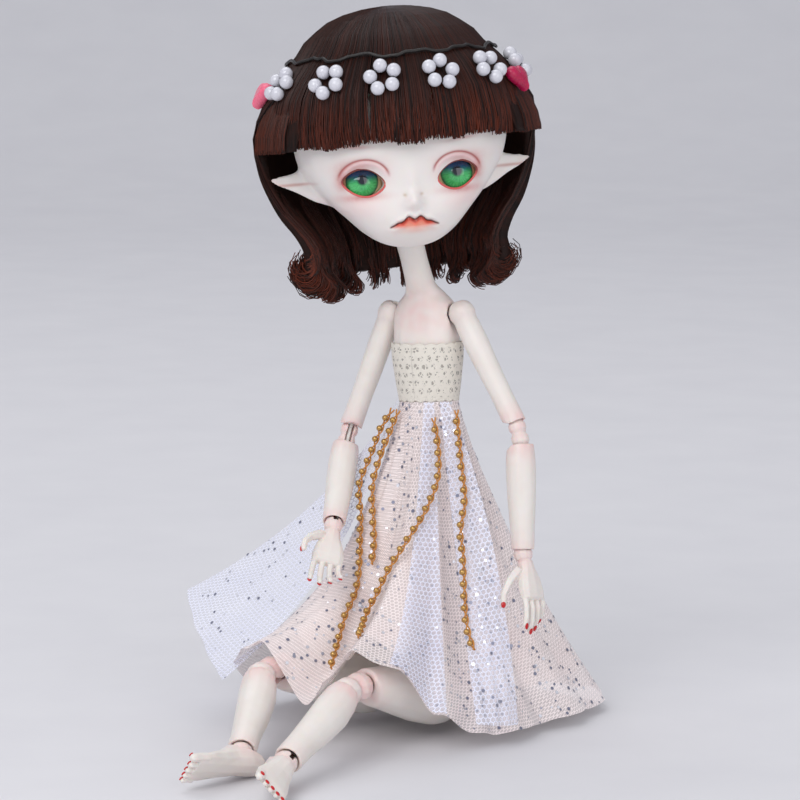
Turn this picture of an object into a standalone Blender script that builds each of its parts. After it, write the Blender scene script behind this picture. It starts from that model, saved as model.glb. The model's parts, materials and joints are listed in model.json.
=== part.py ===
# A ball jointed resin doll, about 28 cm tall when it stands, sitting with its legs out in front.
# Lengths are in metres and angles in degrees. The doll's hips face -Y, its left side is +X,
# and it sits on the plane z = 0. The middle of the flat that it sits on is the origin.
# Each limb piece is drawn in the frame of its own pivot: the joint is at (0, 0, 0), the limb
# runs down -Z, and the front of the limb is -Y.

import math

import bmesh
import bpy
from mathutils import Matrix, Vector

# Clearances and small sizes that many pieces share
joint_gap = 0.0003
seat_gap = 0.0003
overrun = 0.004
facet_turn = math.radians(9)
ball_sides = 12
limb_sides = 12
bore_sides = 10
elastic_radius = 0.0006
bore_radius = 0.0011
hook_wire_radius = 0.0004
hook_loop_radius = 0.001
rest_radius = 0.0024
rest_thickness = 0.0012

# Where the joints are at rest, in the frame of the piece that carries them
hip_height = 0.0109
hip_half_span = 0.0108
hip_setback = -0.002
waist_height = 0.068
waist_setback = 0.006
shoulder_height = 0.0464
shoulder_half_span = 0.0116
neck_base_height = 0.0486
neck_length = 0.0245
neck_lean = 23.0

# The pose the doll sits in
waist_roll = -4.0
waist_pitch = 3.0
head_turn = 38.0
head_tilt = -3.5
sides = {"left": 1, "right": -1}
arm_pose = {
    "left": {"swing": -1.2, "lift": 28.5, "twist": -76.0, "elbow": 12.6, "wrist_turn": -20.0, "wrist": 14.0},
    "right": {"swing": -4.0, "lift": 22.5, "twist": -40.0, "elbow": 28.0, "wrist_turn": 0.0, "wrist": 6.0},
}
leg_pose = {
    "left": {"spread": -5.5, "flex": 101.4, "twist": -18.8, "knee": 15.9, "ankle_turn": 70.0, "ankle": 52.0},
    "right": {"spread": 16.6, "flex": 102.3, "twist": 50.7, "knee": 26.4, "ankle_turn": 0.0, "ankle": 40.0},
}

# Torso
waist_ball_radius = 0.0058
pelvis_half_width = 0.017
pelvis_half_depth = 0.012
chest_half_width = 0.0098
chest_half_depth = 0.0074
neck_radius = 0.0039
neck_ball_radius = 0.0045
torso_bore_radius = 0.0023
hip_bore_radius = 0.0017

# Arms
shoulder_ball_radius = 0.0039
upper_arm_length = 0.0356
upper_arm_half_width = 0.0033
armpit_lift = math.radians(16)
elbow_ball_radius = 0.0026
elbow_spacing = 0.0034
forearm_length = 0.0315
forearm_half_width = 0.0041
wrist_ball_radius = 0.0027
hand_length = 0.0125
palm_half_width = 0.0046
palm_half_depth = 0.0021
finger_radius = 0.00092
finger_length = 0.0105
finger_spacing = 0.00225
thumb_length = 0.0088

# Legs
hip_ball_radius = 0.0084
thigh_length = 0.0418
thigh_half_width = 0.0094
knee_ball_radius = 0.0042
knee_spacing = 0.0056
shin_length = 0.0366
shin_half_width = 0.0049
ankle_ball_radius = 0.0034
foot_length = 0.0265
foot_half_width = 0.0054
foot_height = 0.0085
heel_slope = 34.0
toe_radius = 0.00105
toe_gap = 0.00015
toe_length = 0.0046

# Head: the origin of its frame is midway between the ears, level with the eyes
neck_joint_below_eyes = 0.0135
neck_joint_setback = 0.0035
head_equator = 0.013
head_top = 0.0295
head_bottom = 0.0318
head_half_width = 0.030
head_front = 0.0282
head_back = 0.029
chin_forward = 0.0092
head_wall = 0.0034
eye_half_span = 0.0127
eye_radius = 0.0068
eye_setback = 0.0131
eye_opening_half_width = 0.0053
eye_opening_half_height = 0.0036
ear_reach = 0.0368
ear_base = 0.0195
ear_half_height = 0.0066
ear_half_depth = 0.0026
cap_cut_forward = -0.006
cap_cut_tilt = 42.0
magnet_radius = 0.0025
cap_magnet_reach = 0.0185
magnet_thickness = 0.0015

# Wig, and the flowers on their wire, in the head's frame
wig_gap = 0.0011
wig_top = 0.0477
wig_bottom = -0.030
wig_half_width = 0.040
wig_front = 0.036
wig_back = 0.0368
wig_setback = 0.0015
wig_rim = 0.0092
fringe_top = 0.0238
fringe_bottom = 0.0104
fringe_around = 50.0
fringe_inset = 0.0026
fringe_gap = 0.0009
ear_around = 102.0
back_around = 141.0
wire_radius = 0.00045
wire_height = 0.0332
flower_height = 0.027
flower_around = (-67, -36, -10, 16, 43, 77)
flower_ring_radius = 0.0034
pearl_radius = 0.0019
pearl_count = 5
thread_radius = 0.0004
heart_places = {"left": (60.0, 0.0236), "right": (-85.0, 0.0250)}
heart_half_width = 0.0044
heart_thickness = 0.0034

# Clothes: the skirt hangs from a ring round the chest
cloth_gap = 0.00035
bodice_thickness = 0.0006
bodice_bottom = 0.0226
bodice_top = 0.0385
skirt_thickness = 0.0005
skirt_reach = 0.050
skirt_drop = 0.090
skirt_ring = 0.0222
skirt_setback = 0.0072
fold_depth = 0.0011
fold_count = 10
panel_thickness = 0.0004
panel_lift = 0.0011
panel_bulge = 0.0018
trim_radius = 0.0009

# Strings of beads over the skirt: hand-chosen points in the hips' frame, in millimetres
millimetre = 0.001
trim_routes = {
    "bead_trim_1": ((-9.0, 0.0, 88.0), (-12.0, -1.5, 82.0), (-14.5, -2.5, 75.0), (-16.0, -6.0, 67.0),
                    (-14.0, -8.5, 59.0), (-12.0, -12.0, 52.0), (-10.0, -15.5, 46.0), (-9.0, -19.0, 39.5),
                    (-9.0, -24.5, 33.5), (-8.0, -29.5, 27.5), (-5.0, -38.0, 22.0)),
    "bead_trim_2": ((-6.5, -1.0, 88.0), (-9.0, -1.5, 81.5), (-11.0, -3.0, 75.0), (-12.0, -5.5, 67.0),
                    (-10.0, -8.5, 59.5), (-8.0, -11.0, 52.0), (-7.0, -14.0, 46.5)),
    "bead_trim_3": ((10.5, 2.0, 89.0), (13.5, -1.5, 81.5), (16.0, -4.0, 74.0), (18.5, -6.5, 66.0),
                    (19.0, -9.5, 58.0), (21.0, -11.5, 51.5), (22.5, -13.5, 45.5), (24.0, -15.5, 39.0),
                    (26.0, -17.5, 33.0), (29.0, -19.0, 27.5)),
    "bead_trim_4": ((5.5, -2.0, 87.0), (8.0, -3.5, 80.0), (9.5, -6.0, 71.0), (8.5, -11.0, 62.5),
                    (5.5, -16.0, 54.5), (1.5, -18.5, 47.0), (-0.5, -21.5, 40.5), (-1.0, -26.0, 35.5),
                    (1.5, -32.0, 33.0), (4.5, -39.0, 32.0)),
}

skin_colour = (0.93, 0.90, 0.85)
materials = {
    "resin": (skin_colour, 0.42, 0.0),
    "resin_face": ((0.94, 0.89, 0.86), 0.38, 0.0),
    "eye_glass": ((0.05, 0.36, 0.25), 0.08, 0.0),
    "steel": ((0.55, 0.56, 0.58), 0.25, 1.0),
    "elastic": ((0.93, 0.93, 0.92), 0.8, 0.0),
    "hair": ((0.05, 0.017, 0.012), 0.4, 0.0),
    "black_wire": ((0.02, 0.02, 0.02), 0.4, 0.3),
    "pearl": ((0.92, 0.91, 0.90), 0.18, 0.0),
    "pink_bead": ((0.87, 0.22, 0.42), 0.25, 0.0),
    "lace": ((0.88, 0.83, 0.74), 0.85, 0.0),
    "tulle_pink": ((0.93, 0.84, 0.84), 0.8, 0.0),
    "tulle_white": ((0.90, 0.90, 0.97), 0.8, 0.0),
    "gold": ((0.72, 0.49, 0.22), 0.3, 0.9),
}


def clear_scene():
    for thing in list(bpy.data.objects):
        bpy.data.objects.remove(thing, do_unlink=True)


def make_materials():
    for name, (colour, roughness, metallic) in materials.items():
        made = bpy.data.materials.new(name)
        made.use_nodes = True
        shader = made.node_tree.nodes["Principled BSDF"]
        shader.inputs["Base Color"].default_value = (*colour, 1)
        shader.inputs["Roughness"].default_value = roughness
        shader.inputs["Metallic"].default_value = metallic


def pivot(name, parent, place, axis=None, angle=0.0):
    """An empty on a joint's axis; what moves with the joint is its child."""
    empty = bpy.data.objects.new(name, None)
    empty.empty_display_size = joint_gap
    empty.parent = parent
    empty.location = place
    if axis:
        empty.rotation_euler = Matrix.Rotation(math.radians(angle), 3, axis).to_euler()
    bpy.context.collection.objects.link(empty)
    return empty


def add_object(name, data, parent, material_name, place=(0, 0, 0)):
    made = bpy.data.objects.new(name, data)
    made.parent = parent
    made.location = place
    if material_name:
        data.materials.append(bpy.data.materials[material_name])
    bpy.context.collection.objects.link(made)
    return made


def finish_mesh(name, shape):
    bmesh.ops.recalc_face_normals(shape, faces=shape.faces)
    if shape.calc_volume(signed=True) < 0:
        bmesh.ops.reverse_faces(shape, faces=shape.faces)
    mesh = bpy.data.meshes.new(name)
    shape.to_mesh(mesh)
    shape.free()
    mesh.shade_smooth()
    mesh.set_sharp_from_angle(angle=math.radians(50))
    return mesh


def skin_rings(shape, rings, folded=False):
    """Join rings of points into one closed skin in the bmesh, with a fan on each end ring.
    A folded ring runs out along one side and back along the other, and is closed by a strip."""
    loops = [[shape.verts.new(point) for point in ring] for ring in rings]
    for first, second in zip(loops, loops[1:]):
        for i in range(len(first)):
            j = (i + 1) % len(first)
            shape.faces.new((first[i], first[j], second[j], second[i]))
    if folded:
        last = len(rings[0]) - 1
        for loop in (loops[0], loops[-1]):
            for i in range(last // 2):
                shape.faces.new((loop[i], loop[i + 1], loop[last - i - 1], loop[last - i]))
        return
    for loop, ring in ((loops[0], rings[0]), (loops[-1], rings[-1])):
        middle = shape.verts.new(sum((Vector(point) for point in ring), Vector()) / len(ring))
        for i in range(len(loop)):
            shape.faces.new((loop[i], loop[(i + 1) % len(loop)], middle))


def loop_mesh(name, rings):
    """A ring of rings: the last one joins the first."""
    shape = bmesh.new()
    loops = [[shape.verts.new(point) for point in ring] for ring in rings]
    for first, second in zip(loops, loops[1:] + loops[:1]):
        for i in range(len(first)):
            j = (i + 1) % len(first)
            shape.faces.new((first[i], first[j], second[j], second[i]))
    return finish_mesh(name, shape)


def rings_mesh(name, *skins, folded=False):
    shape = bmesh.new()
    for rings in skins:
        skin_rings(shape, rings, folded)
    return finish_mesh(name, shape)


def ball_mesh(name, radius, around=ball_sides, up=ball_sides // 2, centre=(0, 0, 0)):
    shape = bmesh.new()
    bmesh.ops.create_uvsphere(shape, u_segments=around, v_segments=up, radius=radius,
                              matrix=Matrix.Translation(centre))
    return finish_mesh(name, shape)


def cut_ball(name, radius, around=ball_sides, up=ball_sides // 2):
    """A ball for cutting, a little large and turned, so that its facets stay clear of what turns in it."""
    shape = bmesh.new()
    radius = radius / math.cos(math.pi / around)
    turned = Matrix.Rotation(facet_turn, 4, "Z") @ Matrix.Rotation(facet_turn, 4, "X")
    bmesh.ops.create_uvsphere(shape, u_segments=around, v_segments=up, radius=radius, matrix=turned)
    return finish_mesh(name, shape)


def dome_mesh(name, radius, point, normal):
    """The part of a ball round the origin that lies above a tilted plane."""
    shape = bmesh.new()
    bmesh.ops.create_uvsphere(shape, u_segments=ball_sides, v_segments=ball_sides // 2, radius=radius)
    edges = bmesh.ops.bisect_plane(shape, geom=shape.verts[:] + shape.edges[:] + shape.faces[:], plane_co=point,
                                   plane_no=normal, clear_inner=True)["geom_cut"]
    bmesh.ops.contextual_create(shape, geom=[item for item in edges if isinstance(item, bmesh.types.BMEdge)])
    return finish_mesh(name, shape)


def box_mesh(name, low, high):
    shape = bmesh.new()
    low, high = Vector(low), Vector(high)
    middle = Matrix.Translation((low + high) / 2)
    size = Matrix.Diagonal((*(high - low), 1))
    bmesh.ops.create_cube(shape, size=1, matrix=middle @ size)
    return finish_mesh(name, shape)


def smooth_value(values, share):
    """A smooth curve through values that are evenly spaced along the share, from 0 to 1."""
    last = len(values) - 1
    along = min(max(share, 0.0), 1.0) * last
    i = min(int(along), last - 1)
    t = along - i
    before = values[max(i - 1, 0)] if i else 2 * values[0] - values[1]
    after = values[i + 2] if i + 2 <= last else 2 * values[last] - values[last - 1]
    a, b = values[i], values[i + 1]
    return a + t / 2 * (b - before + t * (2 * before - 5 * a + 4 * b - after
                                          + t * (3 * (a - b) + after - before)))


def smooth_route(points, step):
    """Points about one step apart along a smooth curve through the given points."""
    points = [Vector(point) for point in points]
    fine = []
    pieces = 24
    for k in range((len(points) - 1) * pieces + 1):
        share = k / ((len(points) - 1) * pieces)
        fine.append(Vector([smooth_value([point[axis] for point in points], share) for axis in range(3)]))
    travelled = [0.0]
    for first, second in zip(fine, fine[1:]):
        travelled.append(travelled[-1] + (second - first).length)
    count = max(2, round(travelled[-1] / step))
    route, i = [], 0
    for k in range(count + 1):
        goal = travelled[-1] * k / count
        while i < len(fine) - 2 and travelled[i + 1] < goal:
            i += 1
        part = (goal - travelled[i]) / max(travelled[i + 1] - travelled[i], 1e-12)
        route.append(fine[i].lerp(fine[i + 1], min(part, 1.0)))
    return route


def ellipse_ring(centre, half_width, half_depth, count=limb_sides, power=2.0):
    """A level ring; a power above 2 makes it squarer."""
    ring = []
    for i in range(count):
        angle = math.tau * i / count
        across = math.copysign(abs(math.sin(angle)) ** (2 / power), math.sin(angle))
        ahead = math.copysign(abs(math.cos(angle)) ** (2 / power), math.cos(angle))
        ring.append(Vector(centre) + Vector((half_width * across, -half_depth * ahead, 0)))
    return ring


def tube_rings(points, radii, count=8, flat_share=1.0, side=(1, 0, 0)):
    """Rings square to a path, each flattened across by the flat share."""
    rings = []
    points = [Vector(point) for point in points]
    side = Vector(side)
    for i, point in enumerate(points):
        forward = (points[min(i + 1, len(points) - 1)] - points[max(i - 1, 0)]).normalized()
        across = (side - forward * side.dot(forward)).normalized()
        over = forward.cross(across)
        ring = []
        for k in range(count):
            angle = math.tau * k / count
            ring.append(point + radii[i] * (across * math.cos(angle) + over * flat_share * math.sin(angle)))
        rings.append(ring)
        side = across
    return rings


def capsule_rings(points, radii, count=8, flat_share=1.0, side=(1, 0, 0)):
    """Tube rings with a rounded tip at the far end."""
    points = [Vector(point) for point in points]
    tip_direction = (points[-1] - points[-2]).normalized()
    tip = radii[-1]
    more_points = points + [points[-1] + tip_direction * tip * math.sin(math.radians(a)) for a in (38, 72)]
    more_radii = list(radii) + [tip * math.cos(math.radians(a)) for a in (38, 72)]
    return tube_rings(more_points, more_radii, count, flat_share, side)


def cutter(name, mesh, parent, place=(0, 0, 0), turn=None):
    made = add_object(name, mesh, parent, None, place)
    made.hide_render = True
    made.display_type = "WIRE"
    if turn:
        made.rotation_euler = turn
    return made


def boolean(target, tool, operation="DIFFERENCE", solver="EXACT"):
    modifier = target.modifiers.new(tool.name, "BOOLEAN")
    modifier.operation = operation
    modifier.solver = solver
    modifier.object = tool


def slot_mesh(name, half_width, reach, first_angle, last_angle, apex_radius):
    """A fan in the YZ plane, as wide as the slot: angles run from +Z towards -Y."""
    shape = bmesh.new()
    outline = []
    steps = max(3, int(abs(last_angle - first_angle) / 15) + 2)
    for k in range(steps):
        angle = math.radians(first_angle + (last_angle - first_angle) * k / (steps - 1))
        outline.append((-reach * math.sin(angle), reach * math.cos(angle)))
    middle = math.radians((first_angle + last_angle) / 2)
    for offset in (110, 180, 250):
        angle = middle + math.radians(offset)
        outline.append((-apex_radius * math.sin(angle), apex_radius * math.cos(angle)))
    left = [shape.verts.new((-half_width, y, z)) for y, z in outline]
    right = [shape.verts.new((half_width, y, z)) for y, z in outline]
    shape.faces.new(left)
    shape.faces.new(right[::-1])
    for i in range(len(outline)):
        j = (i + 1) % len(outline)
        shape.faces.new((left[i], right[i], right[j], left[j]))
    return finish_mesh(name, shape)


def ball_end_rings(radius, neck_z, count=limb_sides):
    """Rings of a ball round the origin, from its top down to where the limb begins."""
    last = math.degrees(math.acos(max(-1.0, neck_z / radius)))
    rings = []
    for k in range(5):
        angle = math.radians(16 + (last - 16) * k / 4)
        rings.append(ellipse_ring((0, 0, radius * math.cos(angle)), radius * math.sin(angle),
                                  radius * math.sin(angle), count))
    return rings


def limb_mesh(name, ball_radius, length, rim_rise, half_width, shares, inner_recess, ball_cover=0.55):
    """A limb with a ball at the top and an open rim above the joint below.
    Each row of shares is (place down the limb, width, depth, how far forward)."""
    rings = ball_end_rings(ball_radius, -ball_radius * ball_cover)
    rim_z = -(length - rim_rise)
    start_z = -ball_radius * ball_cover
    for down, wide, deep, ahead in shares:
        z = start_z + (rim_z - start_z) * down
        rings.append(ellipse_ring((0, -half_width * ahead, z), half_width * wide, half_width * deep))
    rim = []
    for point in rings[-1]:
        front_share = max(0.0, -point.y / half_width)
        rim.append(point + Vector((0, 0, inner_recess * front_share ** 2)))
    rings[-1] = rim
    return rings_mesh(name, rings)


def double_ball_rings(radius, spacing, count=ball_sides):
    """Two balls that share a waist, one round the origin and one a spacing below it."""
    rings = []
    meet = math.degrees(math.acos(-spacing / 2 / radius))
    for k in range(5):
        angle = math.radians(16 + (meet - 16) * k / 4)
        rings.append(ellipse_ring((0, 0, radius * math.cos(angle)), radius * math.sin(angle),
                                  radius * math.sin(angle), count))
    for ring in rings[-2::-1]:
        rings.append([Vector((point.x, point.y, -spacing - point.z)) for point in ring])
    return rings


def axis_bore(name, radius, top, bottom, parent):
    rings = [ellipse_ring((0, 0, z), radius, radius, bore_sides) for z in (top, bottom)]
    return cutter(name, rings_mesh(name, rings), parent, (0, 0, 0), (0, 0, facet_turn))


def head_extents(level):
    """Half width, front and back reach and centre of the bare head at a level, from -90 to 90."""
    share = abs(level) / 90
    if level >= 0:
        width = smooth_value(top_width_shares, share)
        front = smooth_value(top_front_shares, share)
        back = smooth_value(top_back_shares, share)
        height = head_equator + head_top * math.sin(math.radians(level))
        centre = 0.0
    else:
        width = smooth_value(low_width_shares, share)
        front = smooth_value(low_front_shares, share)
        back = smooth_value(low_back_shares, share)
        height = head_equator + head_bottom * math.sin(math.radians(level))
        centre = -chin_forward * math.sin(math.radians(-level)) ** 1.6
    return head_half_width * width, head_front * front, head_back * back, centre, height


top_width_shares = (1.0, 0.985, 0.93, 0.81, 0.61, 0.34, 0.03)
top_front_shares = (1.0, 0.975, 0.90, 0.77, 0.58, 0.33, 0.03)
top_back_shares = (1.0, 0.98, 0.92, 0.80, 0.60, 0.34, 0.03)
low_width_shares = (1.0, 0.93, 0.765, 0.565, 0.40, 0.225, 0.03)
low_front_shares = (1.0, 0.905, 0.755, 0.62, 0.47, 0.25, 0.03)
low_back_shares = (1.0, 0.99, 0.90, 0.68, 0.43, 0.21, 0.03)
face_power = 2.5

# The face's relief in shares of the head's half width: (across, up, half width, half height, rise).
# A rise below zero is a hollow, and what lies to one side is mirrored.
relief_shares = ((0.0, -0.193, 0.077, 0.080, 0.100), (0.0, -0.033, 0.070, 0.133, 0.033),
                 (0.0, -0.233, 0.133, 0.047, 0.027), (0.0, -0.350, 0.207, 0.087, 0.037),
                 (0.0, -0.453, 0.133, 0.053, 0.030), (0.0, -0.393, 0.193, 0.023, -0.020),
                 (0.437, -0.007, 0.213, 0.153, -0.087), (0.417, 0.260, 0.267, 0.093, 0.027),
                 (0.467, -0.267, 0.200, 0.150, 0.030))


def head_surface(around, level, grow=0.0, relief=True):
    """A point on the head: around is 0 at the face and +90 at the doll's left."""
    half_width, front, back, centre, height = head_extents(level)
    angle = math.radians(around)
    power = face_power if abs(around) < 90 else 2.0
    across = math.copysign(abs(math.sin(angle)) ** (2 / power), math.sin(angle))
    ahead = math.copysign(abs(math.cos(angle)) ** (2 / power), math.cos(angle))
    reach = front if abs(around) < 90 else back
    point = Vector((half_width * across, centre - reach * ahead, height))
    if relief and abs(around) < 90:
        x, z = point.x / head_half_width, point.z / head_half_width
        for middle, level_share, half_x, half_z, rise in relief_shares:
            fall = math.exp(-((abs(x) - middle) / half_x) ** 2 - ((z - level_share) / half_z) ** 2)
            point.y -= head_half_width * rise * fall * ahead ** 0.25
    if grow:
        middle = Vector((0, centre, head_equator))
        outward = (point - middle).normalized()
        point += outward * grow
    return point


def around_steps(count, front_crowding=1.35):
    """Angles all round the head, closer together at the face."""
    steps = []
    for i in range(count):
        share = 2 * i / count - 1
        steps.append(180 * math.copysign(abs(share) ** front_crowding, share))
    return steps


def head_solid_rings(around_count, levels, grow=0.0):
    angles = around_steps(around_count)
    return [[head_surface(angle, level, grow) for angle in angles] for level in levels]


def turned_levels(first, last, count):
    return [first + (last - first) * k / (count - 1) for k in range(count)]


pelvis_shares = ((0.0, 0.85, 0.71, 0.50), (0.04, 0.85, 0.78, 0.57), (0.12, 0.78, 0.93, 0.74),
                 (0.23, 0.56, 1.0, 0.98), (0.34, 0.33, 1.0, 1.02), (0.46, 0.24, 0.90, 0.93),
                 (0.60, 0.26, 0.68, 0.74), (0.76, 0.36, 0.50, 0.58), (0.90, 0.46, 0.44, 0.52),
                 (0.985, 0.49, 0.455, 0.545))


def make_pelvis(frame):
    """The lower torso: hips, belly and the cup under the waist ball."""
    rings = []
    for up, back, wide, deep in pelvis_shares:
        rings.append(ellipse_ring((0, pelvis_half_depth * back, waist_height * up), pelvis_half_width * wide,
                                  pelvis_half_depth * deep, 20, 2.2))
    pelvis = add_object("torso_lower", rings_mesh("torso_lower", rings), frame, "resin")
    boolean(pelvis, cutter("cut_waist_cup", cut_ball("cut_waist_cup", waist_ball_radius + joint_gap), frame,
                           (0, waist_setback, waist_height)))
    for side, sign in sides.items():
        hip = (sign * hip_half_span, hip_setback, hip_height)
        socket = cut_ball("cut_hip_socket_" + side, hip_ball_radius + joint_gap)
        boolean(pelvis, cutter("cut_hip_socket_" + side, socket, frame, hip))
        swept_radius = thigh_half_width * 1.19 + joint_gap
        reach = hip_ball_radius * 3
        front = [Vector((0, hip_ball_radius * 0.5 - y, 0)) for y in (0, reach)]
        tunnel = rings_mesh("cut_leg_way_" + side, tube_rings(front, [swept_radius] * 2, 16))
        boolean(pelvis, cutter("cut_leg_way_" + side, tunnel, frame, hip))
        below = [Vector((0, 0, hip_ball_radius * 0.5 - z)) for z in (0, reach)]
        drop = rings_mesh("cut_leg_drop_" + side, tube_rings(below, [swept_radius] * 2, 16))
        boolean(pelvis, cutter("cut_leg_drop_" + side, drop, frame, hip))
    for side, sign in sides.items():
        start = Vector((sign * hip_half_span, hip_setback, hip_height))
        end = Vector((sign * elastic_radius * 1.3, waist_setback, waist_height))
        bore = rings_mesh("cut_hip_bore_" + side, tube_rings([start, end], [hip_bore_radius] * 2,
                                                             bore_sides, side=(1, sign * facet_turn * 2, 0)))
        boolean(pelvis, cutter("cut_hip_bore_" + side, bore, frame), solver="MANIFOLD")


def neck_direction():
    return Vector((0, -math.sin(math.radians(neck_lean)), math.cos(math.radians(neck_lean))))


def neck_top():
    return Vector((0, 0, neck_base_height)) + neck_direction() * neck_length


chest_shares = ((0.17, 0.65, 0.76, 2.0), (0.28, 0.70, 0.79, 2.0), (0.42, 0.78, 0.84, 2.0), (0.56, 0.88, 0.94, 2.1),
                (0.70, 0.96, 1.02, 2.2), (0.80, 0.965, 0.98, 2.4), (0.89, 0.975, 0.86, 2.6),
                (0.96, 0.965, 0.78, 2.5), (1.02, 0.86, 0.70, 2.2), (1.065, 0.62, 0.63, 2.0))


def chest_ring(height, grow, count=16):
    """A level ring round the chest, grown outwards."""
    share = height / neck_base_height
    for low, high in zip(chest_shares, chest_shares[1:]):
        if share <= high[0]:
            break
    part = (share - low[0]) / (high[0] - low[0])
    wide, deep, power = (low[k] + (high[k] - low[k]) * part for k in (1, 2, 3))
    return ellipse_ring((0, 0, height), chest_half_width * wide + grow, chest_half_depth * deep + grow, count, power)


def make_chest(frame):
    """The upper torso and the neck in one piece, with a ball at the waist and one on the neck."""
    rings = []
    for k in range(5):
        angle = math.radians(166 - 26 * k)
        rings.append(ellipse_ring((0, 0, waist_ball_radius * math.cos(angle)),
                                  waist_ball_radius * math.sin(angle), waist_ball_radius * math.sin(angle), 16))
    for up, wide, deep, power in chest_shares:
        rings.append(ellipse_ring((0, 0, neck_base_height * up), chest_half_width * wide,
                                  chest_half_depth * deep, 16, power))
    base = Vector((0, 0, neck_base_height))
    top = neck_top()
    for share, thick in ((0.27, 1.06), (0.42, 1.0), (0.6, 0.97), (0.78, 1.0)):
        centre = base.lerp(top, share)
        rings.append(ellipse_ring(centre, neck_radius * thick, neck_radius * thick, 16))
    for k in range(5):
        angle = math.radians(112 - 24 * k)
        rings.append(ellipse_ring(top + Vector((0, 0, neck_ball_radius * math.cos(angle))),
                                  neck_ball_radius * math.sin(angle), neck_ball_radius * math.sin(angle), 16))
    chest = add_object("torso_upper", rings_mesh("torso_upper", rings), frame, "resin")
    for side, sign in sides.items():
        place = (sign * shoulder_half_span, 0, shoulder_height)
        socket = cut_ball("cut_shoulder_socket_" + side, shoulder_ball_radius + joint_gap)
        boolean(chest, cutter("cut_shoulder_socket_" + side, socket, frame, place))
        low = Vector((sign * math.sin(armpit_lift), 0, -math.cos(armpit_lift))) * upper_arm_length * 0.4
        way = rings_mesh("cut_armpit_" + side, tube_rings([(0, 0, 0), low], [upper_arm_half_width * 1.1 + joint_gap] * 2,
                                                          14, side=(facet_turn, 1, 0)))
        boolean(chest, cutter("cut_armpit_" + side, way, frame, place))
    path = [(0, 0, -waist_ball_radius - overrun), (0, 0, 0), base, base.lerp(top, 0.7), top,
            top + Vector((0, 0, overrun * 2))]
    bore = rings_mesh("cut_torso_bore", tube_rings(path, [torso_bore_radius * 1.8] + [torso_bore_radius] * 5, 12,
                                                   side=(1, facet_turn, 0)))
    boolean(chest, cutter("cut_torso_bore", bore, frame))
    cross = [Vector((x, 0, shoulder_height)) for x in (-shoulder_half_span, shoulder_half_span)]
    arm_bore = rings_mesh("cut_arm_bore", tube_rings(cross, [hip_bore_radius] * 2, bore_sides, side=(0, 0, 1)))
    boolean(chest, cutter("cut_arm_bore", arm_bore, frame))
    return chest


def make_head(frame):
    """The hollow face and its cap, with eye openings, ears and the socket over the neck ball."""
    levels = turned_levels(-84, 84, 19)
    rings = head_solid_rings(32, levels)
    face = add_object("head_face", rings_mesh("head_face", rings), frame, "resin_face")
    for side, sign in sides.items():
        boolean(face, make_ear(frame, side, sign), "UNION")
    hollow_levels = turned_levels(-80, 84, 9)
    hollow = [[head_hollow(angle, level) for angle in around_steps(14, 1.0)] for level in hollow_levels]
    hollow_tool = cutter("cut_head_hollow", rings_mesh("cut_head_hollow", hollow), frame)
    boolean(face, hollow_tool)
    neck = Vector((0, neck_joint_setback, -neck_joint_below_eyes))
    socket = cut_ball("cut_neck_socket", neck_ball_radius + joint_gap, 14, 8)
    boolean(face, cutter("cut_neck_socket", socket, frame, neck))
    way_shares = ((-4.0, 3.3), (0.1, 1.06), (0.15, 0.75), (3.0, 0.75))
    way = rings_mesh("cut_neck_way", [ellipse_ring((0, 0, neck_ball_radius * up), neck_ball_radius * wide,
                                                   neck_ball_radius * wide, 14) for up, wide in way_shares])
    boolean(face, cutter("cut_neck_way", way, frame, neck, (0, 0, -facet_turn)))
    for side, sign in sides.items():
        eye = (sign * eye_half_span, -eye_setback, 0)
        well = cut_ball("cut_eye_well_" + side, eye_radius + joint_gap, 14, 8)
        boolean(face, cutter("cut_eye_well_" + side, well, frame, eye))
        boolean(face, cutter("cut_eye_opening_" + side, eye_opening_mesh(sign), frame, eye))
        shape = ball_mesh("eye_" + side, eye_radius, 12, 8)
        add_object("eye_" + side, shape, frame, "eye_glass", eye)
    cap_rings = head_solid_rings(24, turned_levels(-84, 84, 13), -joint_gap)
    cap = add_object("head_cap", rings_mesh("head_cap", cap_rings), frame, "resin")
    boolean(cap, hollow_tool)
    size = head_half_width * 3
    turn = (math.radians(cap_cut_tilt), 0, 0)
    place = (0, cap_cut_forward, head_equator)
    behind = cutter("cut_cap_side", box_mesh("cut_cap_side", (-size, 0, -size), (size, size, size)), frame,
                    place, turn)
    ahead = cutter("cut_face_side", box_mesh("cut_face_side", (-size, -size, -size),
                                             (size, seat_gap, size)), frame, place, turn)
    boolean(face, behind)
    boolean(cap, ahead)
    make_head_magnets(frame, face, cap)


def head_hollow(around, level):
    """The inside of the head: an even wall at the back and sides, thick behind the face."""
    half_width, front, back, centre, height = head_extents(level)
    angle = math.radians(around)
    wall = head_wall
    reach = (front - head_wall * 3.1) if abs(around) < 90 else (back - wall)
    x = max(half_width - wall, wall / 4) * math.sin(angle)
    y = centre - max(reach, wall / 4) * math.cos(angle)
    z = head_equator + (height - head_equator) * (1 - wall / head_top)
    return Vector((x, y + head_wall * 0.6 * max(0.0, math.cos(angle)), z))


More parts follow.
